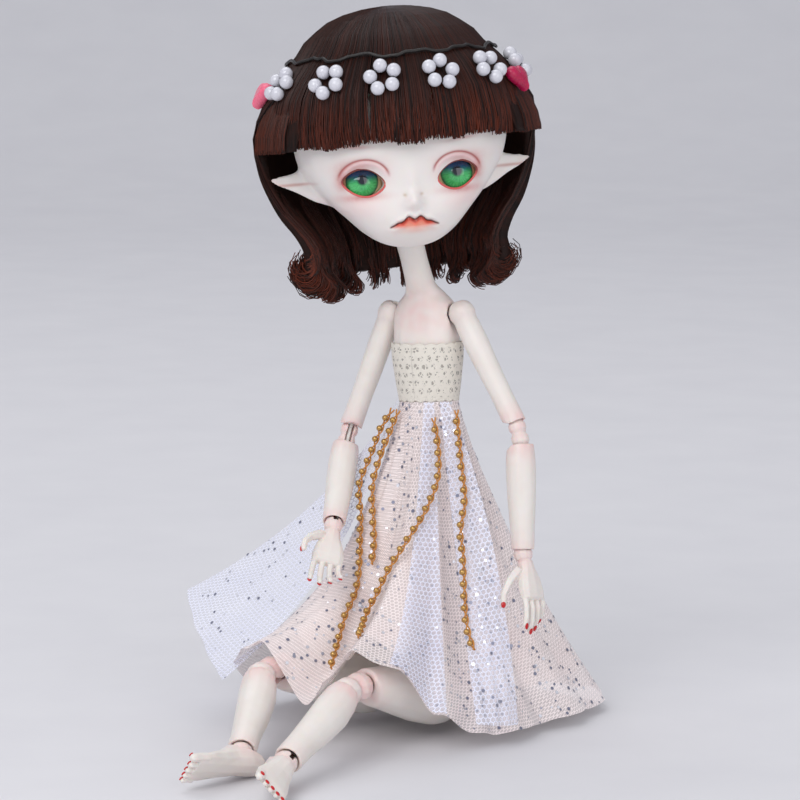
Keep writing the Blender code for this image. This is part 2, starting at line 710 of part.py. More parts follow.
def eye_opening_mesh(sign):
    """An almond prism that runs forward; its outer corner is a little higher than its inner one."""
    outline = []
    count = 14
    for k in range(count):
        angle = math.tau * k / count
        across = math.cos(angle)
        up = math.sin(angle)
        width = eye_opening_half_width * across
        height = eye_opening_half_height * up * (1 - 0.30 * across ** 2)
        lift = eye_opening_half_height * 0.16 * across
        outline.append((sign * width, height + lift))
    shape = bmesh.new()
    near = [shape.verts.new((x, -eye_radius * 0.35, z)) for x, z in outline]
    far = [shape.verts.new((x * 1.12, -eye_radius * 2.6, z * 1.12)) for x, z in outline]
    shape.faces.new(near)
    shape.faces.new(far[::-1])
    for i in range(count):
        j = (i + 1) % count
        shape.faces.new((near[i], far[i], far[j], near[j]))
    return finish_mesh("cut_eye_opening", shape)


ear_shares = ((0.0, 1.0, 1.0, 0.0, 0.0), (0.25, 0.86, 0.9, 0.05, 0.05), (0.5, 0.58, 0.7, 0.14, 0.14),
              (0.75, 0.30, 0.42, 0.26, 0.24), (0.985, 0.03, 0.06, 0.36, 0.36))


def make_ear(frame, side, sign):
    """A long level ear, hollowed at the front, that tapers to a point."""
    rings = []
    for out, tall, deep, back, up in ear_shares:
        x = ear_base + (ear_reach - ear_base) * out
        ring = []
        for k in range(10):
            angle = math.tau * k / 10
            y = ear_half_depth * deep * math.sin(angle)
            if y < 0:
                y *= 0.25 + 0.75 * abs(math.cos(angle))
            ring.append(Vector((sign * x, y + ear_half_height * back + neck_joint_setback * 0.2,
                                ear_half_height * (tall * math.cos(angle) + up))))
        rings.append(ring)
    return cutter("ear_" + side, rings_mesh("ear_" + side, rings), frame)


def cut_plane_disc(name, middle, half_thickness, radius):
    """A disc square to the plane between face and cap, its middle this far behind that plane."""
    centre_up = cap_magnet_reach
    ends = [(0, middle + half_thickness * way, centre_up) for way in (-1, 1)]
    return rings_mesh(name, tube_rings(ends, [radius] * 2, 12, side=(0, facet_turn, 1)))


def make_head_magnets(frame, face, cap):
    """A pair of disc magnets, let into the face's edge and the cap's edge above the forehead."""
    place = (0, cap_cut_forward, head_equator)
    turn = (math.radians(cap_cut_tilt), 0, 0)
    pocket = cut_plane_disc("cut_magnet_pocket", seat_gap / 2, magnet_thickness + seat_gap * 1.5,
                            magnet_radius + seat_gap)
    tool = cutter("cut_magnet_pocket", pocket, frame, place, turn)
    boolean(face, tool)
    boolean(cap, tool)
    half = magnet_thickness / 2
    for name, middle in (("head_magnet_face", -half), ("head_magnet_cap", seat_gap + half)):
        made = add_object(name, cut_plane_disc(name, middle, half, magnet_radius), frame, "steel", place)
        made.rotation_euler = turn


def hook_top(ball_radius):
    return ball_radius + 2 * hook_loop_radius + 2 * hook_wire_radius


def hook_route(ball_radius, loop_turn=290):
    """A stem from the joint's centre to a loop above the ball, left a little open."""
    middle = hook_top(ball_radius) - hook_wire_radius - hook_loop_radius
    route = [Vector((0, 0, 0))]
    steps = 6
    for k in range(steps + 1):
        angle = math.radians(-90 + loop_turn * k / steps)
        route.append(Vector((hook_loop_radius * math.cos(angle), 0, middle + hook_loop_radius * math.sin(angle))))
    return route


def wire_object(name, route, radius, parent, material_name, resolution=2):
    curve = bpy.data.curves.new(name, "CURVE")
    curve.dimensions = "3D"
    curve.bevel_depth = radius
    curve.bevel_resolution = resolution
    curve.use_fill_caps = True
    spline = curve.splines.new("POLY")
    spline.points.add(len(route) - 1)
    for point, place in zip(spline.points, route):
        point.co = (*place, 1)
    return add_object(name, curve, parent, material_name)


def make_neck_hook(frame, rest_frame):
    """The hook that hangs the head on the leg elastics, and the rest that it bears on."""
    bend = neck_ball_radius
    route = [Vector((0, 0, bend * up)) for up in (-0.6, 0.4, 1.3)]
    route += [Vector((bend * 0.35 * (1 - math.cos(math.radians(a))), 0, bend * (1.75 + 0.35 * math.sin(math.radians(a)))))
              for a in (0, 45, 90, 135, 180)]
    wire_object("neck_hook", route, hook_wire_radius * 1.5, frame, "steel", 1)
    bottom = neck_ball_radius + seat_gap
    ring = [ellipse_ring((0, 0, z), rest_radius, rest_radius, 12) for z in (bottom, bottom + rest_thickness)]
    rest = add_object("hook_rest", rings_mesh("hook_rest", ring), rest_frame, "resin")
    way = axis_bore("cut_hook_way", hook_wire_radius * 4.1, bend * 2.5, bend * 0.5, rest_frame)
    boolean(rest, way)


def make_arm(chest_frame, side, sign):
    pose = arm_pose[side]
    shoulder = (sign * shoulder_half_span, 0, shoulder_height)
    swing = pivot("shoulder_swing_" + side, chest_frame, shoulder, "X", pose["swing"])
    lift = pivot("shoulder_lift_" + side, swing, (0, 0, 0), "Y", -sign * pose["lift"])
    arm = pivot("arm_frame_" + side, lift, (0, 0, 0), "Z", sign * pose["twist"])
    name = "upper_arm_" + side
    mesh = limb_mesh(name, shoulder_ball_radius, upper_arm_length, elbow_ball_radius * 0.5,
                     upper_arm_half_width, upper_arm_shares, elbow_ball_radius * 0.75)
    upper = add_object(name, mesh, arm, "resin")
    elbow = (0, 0, -upper_arm_length)
    boolean(upper, cutter("cut_elbow_cup_" + side, cut_ball("cut_elbow_cup", elbow_ball_radius + joint_gap),
                          arm, elbow))
    boolean(upper, axis_bore("cut_upper_arm_bore_" + side, bore_radius, 0, -upper_arm_length, arm))
    slot = slot_mesh("cut_shoulder_slot_" + side, bore_radius, shoulder_ball_radius * 1.5, -18, 118, bore_radius)
    turn = Matrix.Rotation(sign * math.radians(-90 - pose["twist"]), 3, "Z").to_euler()
    boolean(upper, cutter("cut_shoulder_slot_" + side, slot, arm, (0, 0, 0), turn))

    hinge_high = pivot("elbow_high_" + side, arm, elbow, "X", -pose["elbow"])
    name = "elbow_ball_" + side
    joint = add_object(name, rings_mesh(name, double_ball_rings(elbow_ball_radius, elbow_spacing)), hinge_high,
                       "resin")
    reach = elbow_ball_radius + overrun
    open_slot = box_mesh("cut_elbow_slot_" + side, (-bore_radius * 0.82, -reach, -elbow_spacing - reach),
                         (bore_radius * 0.82, bore_radius, reach))
    boolean(joint, cutter("cut_elbow_slot_" + side, open_slot, hinge_high))

    hinge_low = pivot("elbow_low_" + side, hinge_high, (0, 0, -elbow_spacing), "X", -pose["elbow"])
    name = "forearm_" + side
    forearm = add_object(name, forearm_mesh(name), hinge_low, "resin")
    boolean(forearm, cutter("cut_forearm_cup_" + side,
                            cut_ball("cut_forearm_cup", elbow_ball_radius + joint_gap), hinge_low))
    wrist = (0, 0, -forearm_length)
    boolean(forearm, cutter("cut_wrist_cup_" + side, cut_ball("cut_wrist_cup", wrist_ball_radius + joint_gap),
                            hinge_low, wrist))
    boolean(forearm, axis_bore("cut_forearm_bore_" + side, bore_radius * 1.6, 0, -forearm_length, hinge_low))

    turn = pivot("wrist_turn_" + side, hinge_low, wrist, "Z", sign * pose["wrist_turn"])
    wire_object("hand_hook_" + side, hook_route(wrist_ball_radius), hook_wire_radius, turn, "steel", 1)
    bend = pivot("wrist_bend_" + side, turn, (0, 0, 0), "X", pose["wrist"])
    make_hand(bend, side, sign)
    return swing, arm, hinge_high, hinge_low, turn


upper_arm_shares = ((0.04, 1.02, 1.05, 0.0), (0.2, 1.04, 1.08, 0.0), (0.45, 1.0, 1.0, 0.02),
                    (0.7, 0.93, 0.93, 0.0), (0.9, 0.95, 0.95, 0.0), (1.0, 0.98, 0.98, 0.0))


forearm_shares = ((0.0, 0.90, 0.90), (0.06, 0.96, 0.97), (0.22, 1.02, 1.04), (0.5, 0.98, 0.98), (0.8, 0.86, 0.84),
                  (1.0, 0.80, 0.78))


def forearm_mesh(name):
    """An open-topped sleeve shape, widest below the elbow, with a rim at each end."""
    top = -elbow_ball_radius * 0.5
    bottom = -forearm_length + wrist_ball_radius * 0.45
    rings = []
    for down, wide, deep in forearm_shares:
        rings.append(ellipse_ring((0, 0, top + (bottom - top) * down), forearm_half_width * wide,
                                  forearm_half_width * deep))
    rings[0] = [point - Vector((0, 0, elbow_ball_radius * 0.75 * max(0.0, -point.y / forearm_half_width) ** 2))
                for point in rings[0]]
    return rings_mesh(name, rings)


palm_shares = ((0.0, 0.50, 0.95, 2.0), (0.22, 0.58, 1.0, 2.2), (0.5, 0.86, 1.0, 2.5), (0.8, 1.0, 0.95, 2.6),
               (1.0, 0.97, 0.80, 2.5), (1.06, 0.80, 0.5, 2.2))


def make_hand(frame, side, sign):
    """A slim hand: palm, four fingers and a thumb, on a ball that sits in the forearm."""
    start = -wrist_ball_radius * 0.8
    rings = [ellipse_ring((0, 0, start - (hand_length + start) * down), palm_half_width * wide,
                          palm_half_depth * deep, 10, power) for down, wide, deep, power in palm_shares]
    hand = add_object("hand_" + side, rings_mesh("hand_" + side, rings), frame, "resin")
    ball = cutter("wrist_ball_" + side, ball_mesh("wrist_ball", wrist_ball_radius, 10, 6), frame)
    boolean(hand, ball, "UNION")
    fingers = []
    for index, (long_share, curl) in enumerate(((0.86, 12), (1.0, 17), (0.93, 22), (0.76, 28))):
        x = -sign * (index - 1.5) * finger_spacing
        spread = -sign * math.radians((index - 1.5) * 3)
        fingers.append(finger_rings(Vector((x, 0, -hand_length * 0.88)), finger_length * long_share, curl, spread))
    boolean(hand, cutter("fingers_" + side, rings_mesh("fingers_" + side, *fingers), frame), "UNION")
    root = Vector((sign * palm_half_width * 0.62, -palm_half_depth * 0.3, -hand_length * 0.34))
    thumb = [root, root + Vector((sign * thumb_length * 0.38, -thumb_length * 0.16, -thumb_length * 0.34)),
             root + Vector((sign * thumb_length * 0.56, -thumb_length * 0.34, -thumb_length * 0.70)),
             root + Vector((sign * thumb_length * 0.58, -thumb_length * 0.42, -thumb_length))]
    radii = [finger_radius * 1.7, finger_radius * 1.35, finger_radius * 1.1, finger_radius]
    boolean(hand, cutter("thumb_" + side, rings_mesh("thumb_" + side, capsule_rings(thumb, radii, 5)), frame),
            "UNION")
    slot = slot_mesh("cut_hand_slot_" + side, hook_wire_radius + joint_gap, wrist_ball_radius * 1.4, -68, 68,
                     (hook_wire_radius + joint_gap) * 1.15)
    boolean(hand, cutter("cut_hand_slot_" + side, slot, frame))
    return hand


def finger_rings(root, length, curl, spread):
    """A finger of three bones that curls towards the palm, -Y."""
    points, angle = [root], 0.0
    place = root.copy()
    for share in (0.42, 0.32, 0.26):
        direction = Vector((math.sin(spread), -math.sin(math.radians(angle)), -math.cos(math.radians(angle))))
        place = place + direction * length * share
        points.append(place)
        angle += curl
    radii = [finger_radius * share for share in (1.05, 1.02, 0.95, 0.82)]
    return capsule_rings(points, radii, 5)


def make_leg(pelvis_frame, side, sign):
    pose = leg_pose[side]
    hip = (sign * hip_half_span, hip_setback, hip_height)
    spread = pivot("hip_spread_" + side, pelvis_frame, hip, "Z", sign * pose["spread"])
    flex = pivot("hip_flex_" + side, spread, (0, 0, 0), "X", -pose["flex"])
    thigh_frame = pivot("thigh_frame_" + side, flex, (0, 0, 0), "Z", sign * pose["twist"])
    name = "thigh_" + side
    mesh = limb_mesh(name, hip_ball_radius, thigh_length, knee_ball_radius * 0.5,
                     thigh_half_width, thigh_shares, knee_ball_radius * 0.3, 0.35)
    thigh = add_object(name, mesh, thigh_frame, "resin")
    knee = (0, 0, -thigh_length)
    boolean(thigh, cutter("cut_knee_cup_" + side, cut_ball("cut_knee_cup", knee_ball_radius + joint_gap),
                          thigh_frame, knee))
    back_notch = box_mesh("cut_knee_notch_" + side, (-thigh_half_width, 0, -knee_ball_radius),
                          (thigh_half_width, thigh_half_width, knee_ball_radius))
    notch_turn = (math.radians(34), 0, 0)
    boolean(thigh, cutter("cut_knee_notch_" + side, back_notch, thigh_frame,
                          (0, knee_ball_radius * 0.3, -thigh_length - knee_ball_radius * 0.37), notch_turn))
    boolean(thigh, axis_bore("cut_thigh_bore_" + side, bore_radius * 1.6, 0, -thigh_length, thigh_frame))
    slot = slot_mesh("cut_hip_slot_" + side, hip_bore_radius * 1.5, hip_ball_radius * 1.4, -12, 128,
                     hip_bore_radius)
    turn = Matrix.Rotation(-sign * math.radians(pose["twist"]), 3, "Z").to_euler()
    boolean(thigh, cutter("cut_hip_slot_" + side, slot, thigh_frame, (0, 0, 0), turn))

    hinge_high = pivot("knee_high_" + side, thigh_frame, knee, "X", pose["knee"])
    name = "knee_ball_" + side
    joint = add_object(name, rings_mesh(name, double_ball_rings(knee_ball_radius, knee_spacing)), hinge_high,
                       "resin")
    reach = knee_ball_radius + overrun
    open_slot = box_mesh("cut_knee_slot_" + side, (-bore_radius, -bore_radius, -knee_spacing - reach),
                         (bore_radius, reach, reach))
    boolean(joint, cutter("cut_knee_slot_" + side, open_slot, hinge_high))

    hinge_low = pivot("knee_low_" + side, hinge_high, (0, 0, -knee_spacing), "X", pose["knee"])
    name = "shin_" + side
    shin = add_object(name, shin_mesh(name), hinge_low, "resin")
    boolean(shin, cutter("cut_shin_cup_" + side, cut_ball("cut_shin_cup", knee_ball_radius + joint_gap),
                         hinge_low))
    ankle = (0, 0, -shin_length)
    boolean(shin, cutter("cut_ankle_cup_" + side, cut_ball("cut_ankle_cup", ankle_ball_radius + joint_gap),
                         hinge_low, ankle))
    boolean(shin, axis_bore("cut_shin_bore_" + side, bore_radius * 1.6, 0, -shin_length, hinge_low))

    turn = pivot("ankle_turn_" + side, hinge_low, ankle, "Z", sign * pose["ankle_turn"])
    wire_object("foot_hook_" + side, hook_route(ankle_ball_radius), hook_wire_radius, turn, "steel", 1)
    bend = pivot("ankle_bend_" + side, turn, (0, 0, 0), "X", pose["ankle"])
    make_foot(bend, side, sign)
    return spread, thigh_frame, hinge_high, hinge_low, turn


thigh_shares = ((0.03, 0.98, 0.98, 0.0), (0.16, 1.04, 1.06, 0.0), (0.35, 0.98, 0.98, 0.0), (0.58, 0.80, 0.80, 0.0),
                (0.8, 0.63, 0.62, 0.0), (0.94, 0.57, 0.55, 0.02), (1.0, 0.565, 0.54, 0.02))


shin_shares = ((0.0, 0.94, 0.94, 0.0), (0.05, 0.99, 1.0, 0.0), (0.25, 1.02, 1.10, 0.10), (0.5, 0.94, 1.0, 0.10),
               (0.78, 0.82, 0.84, 0.02), (1.0, 0.83, 0.83, 0.0))


def shin_mesh(name):
    """The shin with its calf behind, open at the knee and at the ankle."""
    top = -knee_ball_radius * 0.42
    bottom = -shin_length + ankle_ball_radius * 0.45
    rings = []
    for down, wide, deep, back in shin_shares:
        rings.append(ellipse_ring((0, shin_half_width * back, top + (bottom - top) * down),
                                  shin_half_width * wide, shin_half_width * deep))
    rings[0] = [point - Vector((0, 0, knee_ball_radius * 0.8 * max(0.0, point.y / shin_half_width) ** 2))
                for point in rings[0]]
    return rings_mesh(name, rings)


foot_shares = ((0.0, 0.38, 0.30, 0.34), (0.06, 0.62, 0.46, 0.44), (0.2, 0.74, 0.55, 0.53), (0.38, 0.68, 0.50, 0.50),
               (0.58, 0.84, 0.34, 0.34), (0.76, 1.0, 0.24, 0.25), (0.90, 0.98, 0.17, 0.18), (0.95, 0.86, 0.11, 0.13))


def make_foot(frame, side, sign):
    """A bare foot with five toes, on a ball that sits in the shin."""
    sole = -foot_height + ankle_ball_radius * 0.6
    heel = ankle_ball_radius * 1.5
    rings = []
    for along, wide, tall, middle in foot_shares:
        y = heel - foot_length * along
        ring = []
        for k in range(12):
            angle = math.tau * k / 12
            z = sole + foot_height * (middle + tall * math.cos(angle))
            x = foot_half_width * wide * math.copysign(abs(math.sin(angle)) ** 0.85, math.sin(angle))
            ring.append(Vector((x, y, max(z, sole))))
        rings.append(ring)
    foot = add_object("foot_" + side, rings_mesh("foot_" + side, rings), frame, "resin")
    rim_reach = shin_half_width * 0.83
    sweep = math.hypot(rim_reach, ankle_ball_radius * 0.45) + joint_gap * 1.5
    way = dome_mesh("cut_ankle_way", sweep, (0, sweep * 0.10, -sweep * 0.36), (0, 0.33, 1))
    boolean(foot, cutter("cut_ankle_way_" + side, way, frame))
    behind = box_mesh("cut_heel_way", (-foot_height, 0, 0), (foot_height, foot_length, foot_length))
    boolean(foot, cutter("cut_heel_way_" + side, behind, frame, (0, 0, -ankle_ball_radius * 0.24),
                         (math.radians(-heel_slope), 0, 0)))
    leg_end = [ellipse_ring((0, 0, z), radius, radius, 12) for z, radius in
               ((-foot_height * 0.62, ankle_ball_radius * 0.9), (-ankle_ball_radius * 0.5, ankle_ball_radius * 0.86),
                (0, ankle_ball_radius), (ankle_ball_radius * 0.5, ankle_ball_radius * 0.866),
                (ankle_ball_radius * 0.87, ankle_ball_radius * 0.49))]
    boolean(foot, cutter("ankle_ball_" + side, rings_mesh("ankle_ball", leg_end), frame), "UNION")
    toes = []
    edge = foot_half_width
    for size, ahead in ((1.3, 0.96), (0.95, 1.0), (0.90, 0.97), (0.85, 0.90), (0.82, 0.80)):
        radius = toe_radius * size
        start = Vector((-sign * (edge - radius), heel - foot_length * 0.84, sole + radius * 1.25))
        edge -= 2 * radius + toe_gap
        end = start + Vector((0, -toe_length * ahead * size ** 0.5, -radius * 0.2))
        toes.append(capsule_rings([start, start.lerp(end, 0.5) + Vector((0, 0, radius * 0.12)), end],
                                  [radius, radius * 0.94, radius * 0.97], 5))
    boolean(foot, cutter("toes_" + side, rings_mesh("toes_" + side, *toes), frame), "UNION")
    slot = slot_mesh("cut_foot_slot_" + side, hook_wire_radius + joint_gap, ankle_ball_radius * 1.4, -78, 40,
                     (hook_wire_radius + joint_gap) * 1.15)
    boolean(foot, cutter("cut_foot_slot_" + side, slot, frame))
    return foot


# Half widths of the wig, evenly spaced from its bottom to its top, in shares of the widest
wig_width_shares = (0.60, 0.732, 0.725, 0.783, 0.875, 0.938, 0.983, 1.0, 0.99, 0.94, 0.865, 0.758, 0.625, 0.49, 0.04)
wig_depth_shares = (0.86, 0.88, 0.90, 0.93, 0.96, 0.98, 1.0, 1.0, 0.99, 0.965, 0.925, 0.855, 0.745, 0.55, 0.04)


def hair_surface(around, height, inset=0.0):
    """A point on the outside of the wig, or inset from it; around is 0 at the face."""
    up_share = (height - wig_bottom) / (wig_top - wig_bottom)
    half_width = wig_half_width * smooth_value(wig_width_shares, up_share) - inset
    angle = math.radians(around)
    depth = (wig_front if abs(around) < 90 else wig_back) * smooth_value(wig_depth_shares, up_share) - inset
    return Vector((half_width * math.sin(angle), wig_setback - depth * math.cos(angle), height))


def make_wig(frame):
    """A cap of hair, a straight fringe, and hair that hangs behind the ears and at the back."""
    past_fringe = fringe_around + 5
    columns = [0, 17, 34, fringe_around, past_fringe, 72, 90, 108, 126, 144, 162]
    columns = [-a for a in columns[:0:-1]] + columns + [180]
    rings = []
    rows = 6
    for k in range(rows):
        rings.append([inner_hair(a, 1 - k / (rows - 1)) for a in columns])
    for k in range(rows):
        rise = math.sin(math.radians(88 * k / (rows - 1)))
        rings.append([hair_surface(a, rim_height(a) + (wig_top - rim_height(a)) * rise) for a in columns])
    add_object("wig_crown", rings_mesh("wig_crown", rings), frame, "hair")

    low, high = (math.degrees(math.asin((fringe_bottom - head_equator) / head_bottom)),
                 math.degrees(math.asin((fringe_top - seat_gap - head_equator) / head_top)))
    rings = []
    for k in range(11):
        around = (fringe_around - 3) * (2 * k / 10 - 1)
        levels = turned_levels(low, high, 4)
        inner = [head_surface(around, level, fringe_gap, False) for level in levels]
        heights = turned_levels(fringe_top - seat_gap, fringe_bottom, 4)
        outer = [hair_surface(around, height, fringe_inset * i / 3) for i, height in enumerate(heights)]
        rings.append(inner + outer)
    add_object("wig_fringe", rings_mesh("wig_fringe", rings, folded=True), frame, "hair")

    hang_shares = (0.155, 0.15, 0.16, 0.19, 0.21, 0.21, 0.16)
    heights = turned_levels(wig_rim - seat_gap, wig_bottom, 8)
    for name, first, last, count in (("wig_side_left", ear_around, back_around - 2, 5),
                                     ("wig_side_right", -ear_around, 2 - back_around, 5),
                                     ("wig_back", back_around, 360 - back_around, 8)):
        rings = []
        for k in range(count):
            around = first + (last - first) * k / (count - 1)
            outer = [hair_surface(around, height) for height in heights]
            inner = [hair_surface(around, height, wig_half_width * smooth_value(hang_shares, i / 7))
                     for i, height in enumerate(heights)]
            rings.append(outer + inner[::-1])
        add_object(name, rings_mesh(name, rings, folded=True), frame, "hair")


def rim_height(around):
    return fringe_top if abs(around) <= fringe_around else wig_rim


def inner_hair(around, up_share):
    """A point on the inside of the wig, which follows the head; up_share is 0 at the wig's rim."""
    rise = (rim_height(around) - head_equator) / (head_top if rim_height(around) > head_equator else head_bottom)
    rim_level = math.degrees(math.asin(rise))
    return head_surface(around, rim_level + (88 - rim_level) * up_share, wig_gap, False)


def make_headband(frame):
    """The wreath: a black wire over the hair, flowers of pearls below it, and two pink hearts."""
    route = [hair_seat(around, wire_height, wire_radius + seat_gap * 1.5)[0] for around in range(-174, 175, 12)]
    wire_object("headband_wire", route, wire_radius, frame, "black_wire", 0)
    for index, around in enumerate(flower_around):
        place, right, up, out = hair_seat(around, flower_height, pearl_radius + seat_gap)
        rings = []
        for k in range(pearl_count):
            for along in (-0.84, -0.32, 0.32, 0.84):
                half_angle = pearl_radius / flower_ring_radius * along
                angle = math.tau * k / pearl_count + half_angle
                radius = max(thread_radius, pearl_radius * math.sqrt(1 - along ** 2))
                spoke = right * math.cos(angle) + up * math.sin(angle)
                rings.append([place + spoke * flower_ring_radius + (spoke * math.cos(a) + out * math.sin(a)) * radius
                              for a in (math.tau * j / 5 for j in range(5))])
        name = "pearl_flower_%d" % (index + 1)
        add_object(name, loop_mesh(name, rings), frame, "pearl")
    for side, (around, height) in heart_places.items():
        place, right, up, out = hair_seat(around, height, heart_thickness / 2 + seat_gap)
        rings = []
        for level, grow in ((-0.5, 0.7), (-0.25, 1.0), (0.25, 1.0), (0.5, 0.7)):
            rings.append([place + (right * x + up * y) * heart_half_width * grow + out * heart_thickness * level
                          for x, y in heart_outline()])
        add_object("pink_heart_" + side, rings_mesh("pink_heart_" + side, rings), frame, "pink_bead")


def hair_seat(around, height, stand_off):
    """A place over the hair, with the directions to its right, up along the hair and out."""
    step = wire_radius
    here = hair_surface(around, height)
    up = (hair_surface(around, height + step) - hair_surface(around, height - step)).normalized()
    right = (hair_surface(around + 1, height) - hair_surface(around - 1, height)).normalized()
    out = right.cross(up).normalized()
    if out.dot(here) < 0:
        out = -out
    return here + out * stand_off, right, up, out


def heart_outline():
    """A heart two units wide, from its notch round to its notch."""
    points = []
    for k in range(14):
        t = math.tau * (k + 0.5) / 14
        x = math.sin(t) ** 3
        y = (13 * math.cos(t) - 5 * math.cos(2 * t) - 2 * math.cos(3 * t) - math.cos(4 * t)) / 16
        points.append((x, y * 0.95))
    return points


def make_bodice(chest_frame):
    """The lace tube round the chest."""
    heights = turned_levels(bodice_bottom, bodice_top, 3)
    inner = [chest_ring(height, cloth_gap) for height in heights]
    outer = [chest_ring(height, cloth_gap + bodice_thickness) for height in heights]
    add_object("bodice", loop_mesh("bodice", outer + inner[::-1]), chest_frame, "lace")


# The skirt by direction (0 is the front, 90 the doll's left): its middle and its hem, each as
# (reach in shares of the skirt's reach, height in shares of its drop).
skirt_shares = ((-24, 0.24, 0.38, 1.12, 0.315), (-10, 0.26, 0.355, 1.04, 0.135), (-1, 0.26, 0.38, 1.06, 0.225),
                (8, 0.30, 0.43, 1.08, 0.33), (20, 0.44, 0.42, 1.0, 0.28), (33, 0.38, 0.43, 0.92, 0.12),
                (46, 0.28, 0.43, 0.84, 0.06),
                (65, 0.24, 0.47, 0.76, 0.035), (90, 0.24, 0.47, 0.72, 0.035), (112, 0.28, 0.48, 0.84, 0.035),
                (135, 0.40, 0.50, 1.0, 0.035), (160, 0.48, 0.50, 0.96, 0.035), (200, 0.48, 0.50, 0.90, 0.035),
                (245, 0.44, 0.49, 0.90, 0.035), (270, 0.42, 0.49, 0.92, 0.035), (292, 0.38, 0.49, 1.04, 0.09),
                (315, 0.36, 0.47, 1.14, 0.20), (326, 0.30, 0.42, 1.14, 0.27), (336, 0.24, 0.38, 1.12, 0.315))


def skirt_profile(around):
    around = (around + 24) % 360 - 24
    for low, high in zip(skirt_shares, skirt_shares[1:]):
        if around <= high[0]:
            break
    part = (around - low[0]) / (high[0] - low[0])
    part = part * part * (3 - 2 * part)
    return [low[k] + (high[k] - low[k]) * part for k in (1, 2, 3, 4)]


def skirt_point(chest_frame, around, down, lift=0.0):
    """A point on the middle of the skirt's cloth, lifted outwards by the lift."""
    middle_reach, middle_height, hem_reach, hem_height = skirt_profile(around)
    direction = Vector((math.sin(math.radians(around)), -math.cos(math.radians(around)), 0))
    axis = Vector((0, skirt_setback, 0))
    ring = chest_ring(skirt_ring, cloth_gap + skirt_thickness / 2 + lift, 72)
    start = in_hips(chest_frame, ring[round(around / 5) % 72])
    middle = axis + direction * skirt_reach * middle_reach + Vector((0, 0, skirt_drop * middle_height))
    hem = axis + direction * skirt_reach * hem_reach + Vector((0, 0, skirt_drop * hem_height))
    point = start * (1 - down) ** 2 + middle * 2 * down * (1 - down) + hem * down ** 2
    slope = (middle - start) * (1 - down) + (hem - middle) * down
    across = Vector((math.cos(math.radians(around)), math.sin(math.radians(around)), 0))
    out = slope.cross(across).normalized()
    if out.dot(direction) + out.z < 0:
        out = -out
    fold = fold_depth * math.cos(math.radians(fold_count * around)) * down ** 0.5 * min(1.0, (1 - hem_height) * 1.1)
    return point + out * (lift * min(1.0, down * 4) + fold * min(1.0, down * 3))


def cloth_object(name, grid, thickness, closed, parent, material_name):
    """A sheet over a grid of points, thickened evenly."""
    shape = bmesh.new()
    rows = [[shape.verts.new(point) for point in row] for row in grid]
    for upper, lower in zip(rows, rows[1:]):
        count = len(upper)
        for i in range(count if closed else count - 1):
            j = (i + 1) % count
            shape.faces.new((upper[i], upper[j], lower[j], lower[i]))
    mesh = bpy.data.meshes.new(name)
    bmesh.ops.recalc_face_normals(shape, faces=shape.faces)
    shape.to_mesh(mesh)
    shape.free()
    mesh.shade_smooth()
    made = add_object(name, mesh, parent, material_name)
    solidify = made.modifiers.new("thickness", "SOLIDIFY")
    solidify.thickness = thickness
    solidify.offset = 0
    return made


# The edges of the two loose panels: each is (direction, reach and height of its middle, reach and
# height of its end), in degrees and in shares of the skirt's reach and drop.
panel_shares = {"train": ((284, 0.62, 0.54, 1.52, 0.30), (310, 0.46, 0.49, 1.30, 0.22)),
                "front": ((46, 0.42, 0.62, 0.93, 0.096), (64, 0.70, 0.66, 0.86, 0.072))}


def panel_edge_point(chest_frame, edge, down):
    around, middle_reach, middle_height, end_reach, end_height = edge
    direction = Vector((math.sin(math.radians(around)), -math.cos(math.radians(around)), 0))
    axis = Vector((0, skirt_setback, 0))
    start = skirt_point(chest_frame, around, 0.0, panel_lift)
    middle = axis + direction * skirt_reach * middle_reach + Vector((0, 0, skirt_drop * middle_height))
    end = axis + direction * skirt_reach * end_reach + Vector((0, 0, skirt_drop * end_height))
    return start * (1 - down) ** 2 + middle * 2 * down * (1 - down) + end * down ** 2


def make_panels(frame, chest_frame):
    """Three loose lengths of white tulle over the skirt."""
    downs = [k / 9 for k in range(10)]
    for name, (first, last) in panel_shares.items():
        grid = []
        for down in downs:
            a = panel_edge_point(chest_frame, first, down)
            b = panel_edge_point(chest_frame, last, down)
            out = (a + b) / 2 - Vector((0, skirt_setback, 0))
            bulge = Vector((out.x, out.y, 0)).normalized() * panel_bulge * down
            grid.append([a, a.lerp(b, 0.33) + bulge, a.lerp(b, 0.67) + bulge * 0.6, b])
        cloth_object("panel_" + name, grid, panel_thickness, False, frame, "tulle_white")
    grid = [[skirt_point(chest_frame, 9 * k, down, panel_lift) for k in (2, 3, 4)]
            for down in skirt_down_shares]
    cloth_object("panel_middle", grid, panel_thickness, False, frame, "tulle_white")


skirt_down_shares = (0.0, 0.10, 0.24, 0.42, 0.61, 0.80, 1.0)


def make_skirt(frame, chest_frame):
    grid = [[skirt_point(chest_frame, 9 * k, down) for k in range(40)] for down in skirt_down_shares]
    cloth_object("skirt", grid, skirt_thickness, True, frame, "tulle_pink")


def in_frame(frame, point):
    return frame.matrix_world @ Vector(point)


def in_hips(frame, point):
    """A point of another frame, as the hips' frame has it."""
    return bpy.data.objects["hips_frame"].matrix_world.inverted() @ in_frame(frame, point)


def make_trims(frame):
    for name, points in trim_routes.items():
        route = smooth_route([Vector(point) * millimetre for point in points], trim_radius * 6)
        wire_object(name, route, trim_radius, frame, "gold", 2)


def elastic_object(name, world_points, parent, step):
    """A length of round elastic along a smooth route, drawn in its carrier's frame."""
    inverse = parent.matrix_world.inverted()
    route = [inverse @ point for point in smooth_route(world_points, step)]
    return wire_object(name, route, elastic_radius, parent, "elastic", 1)


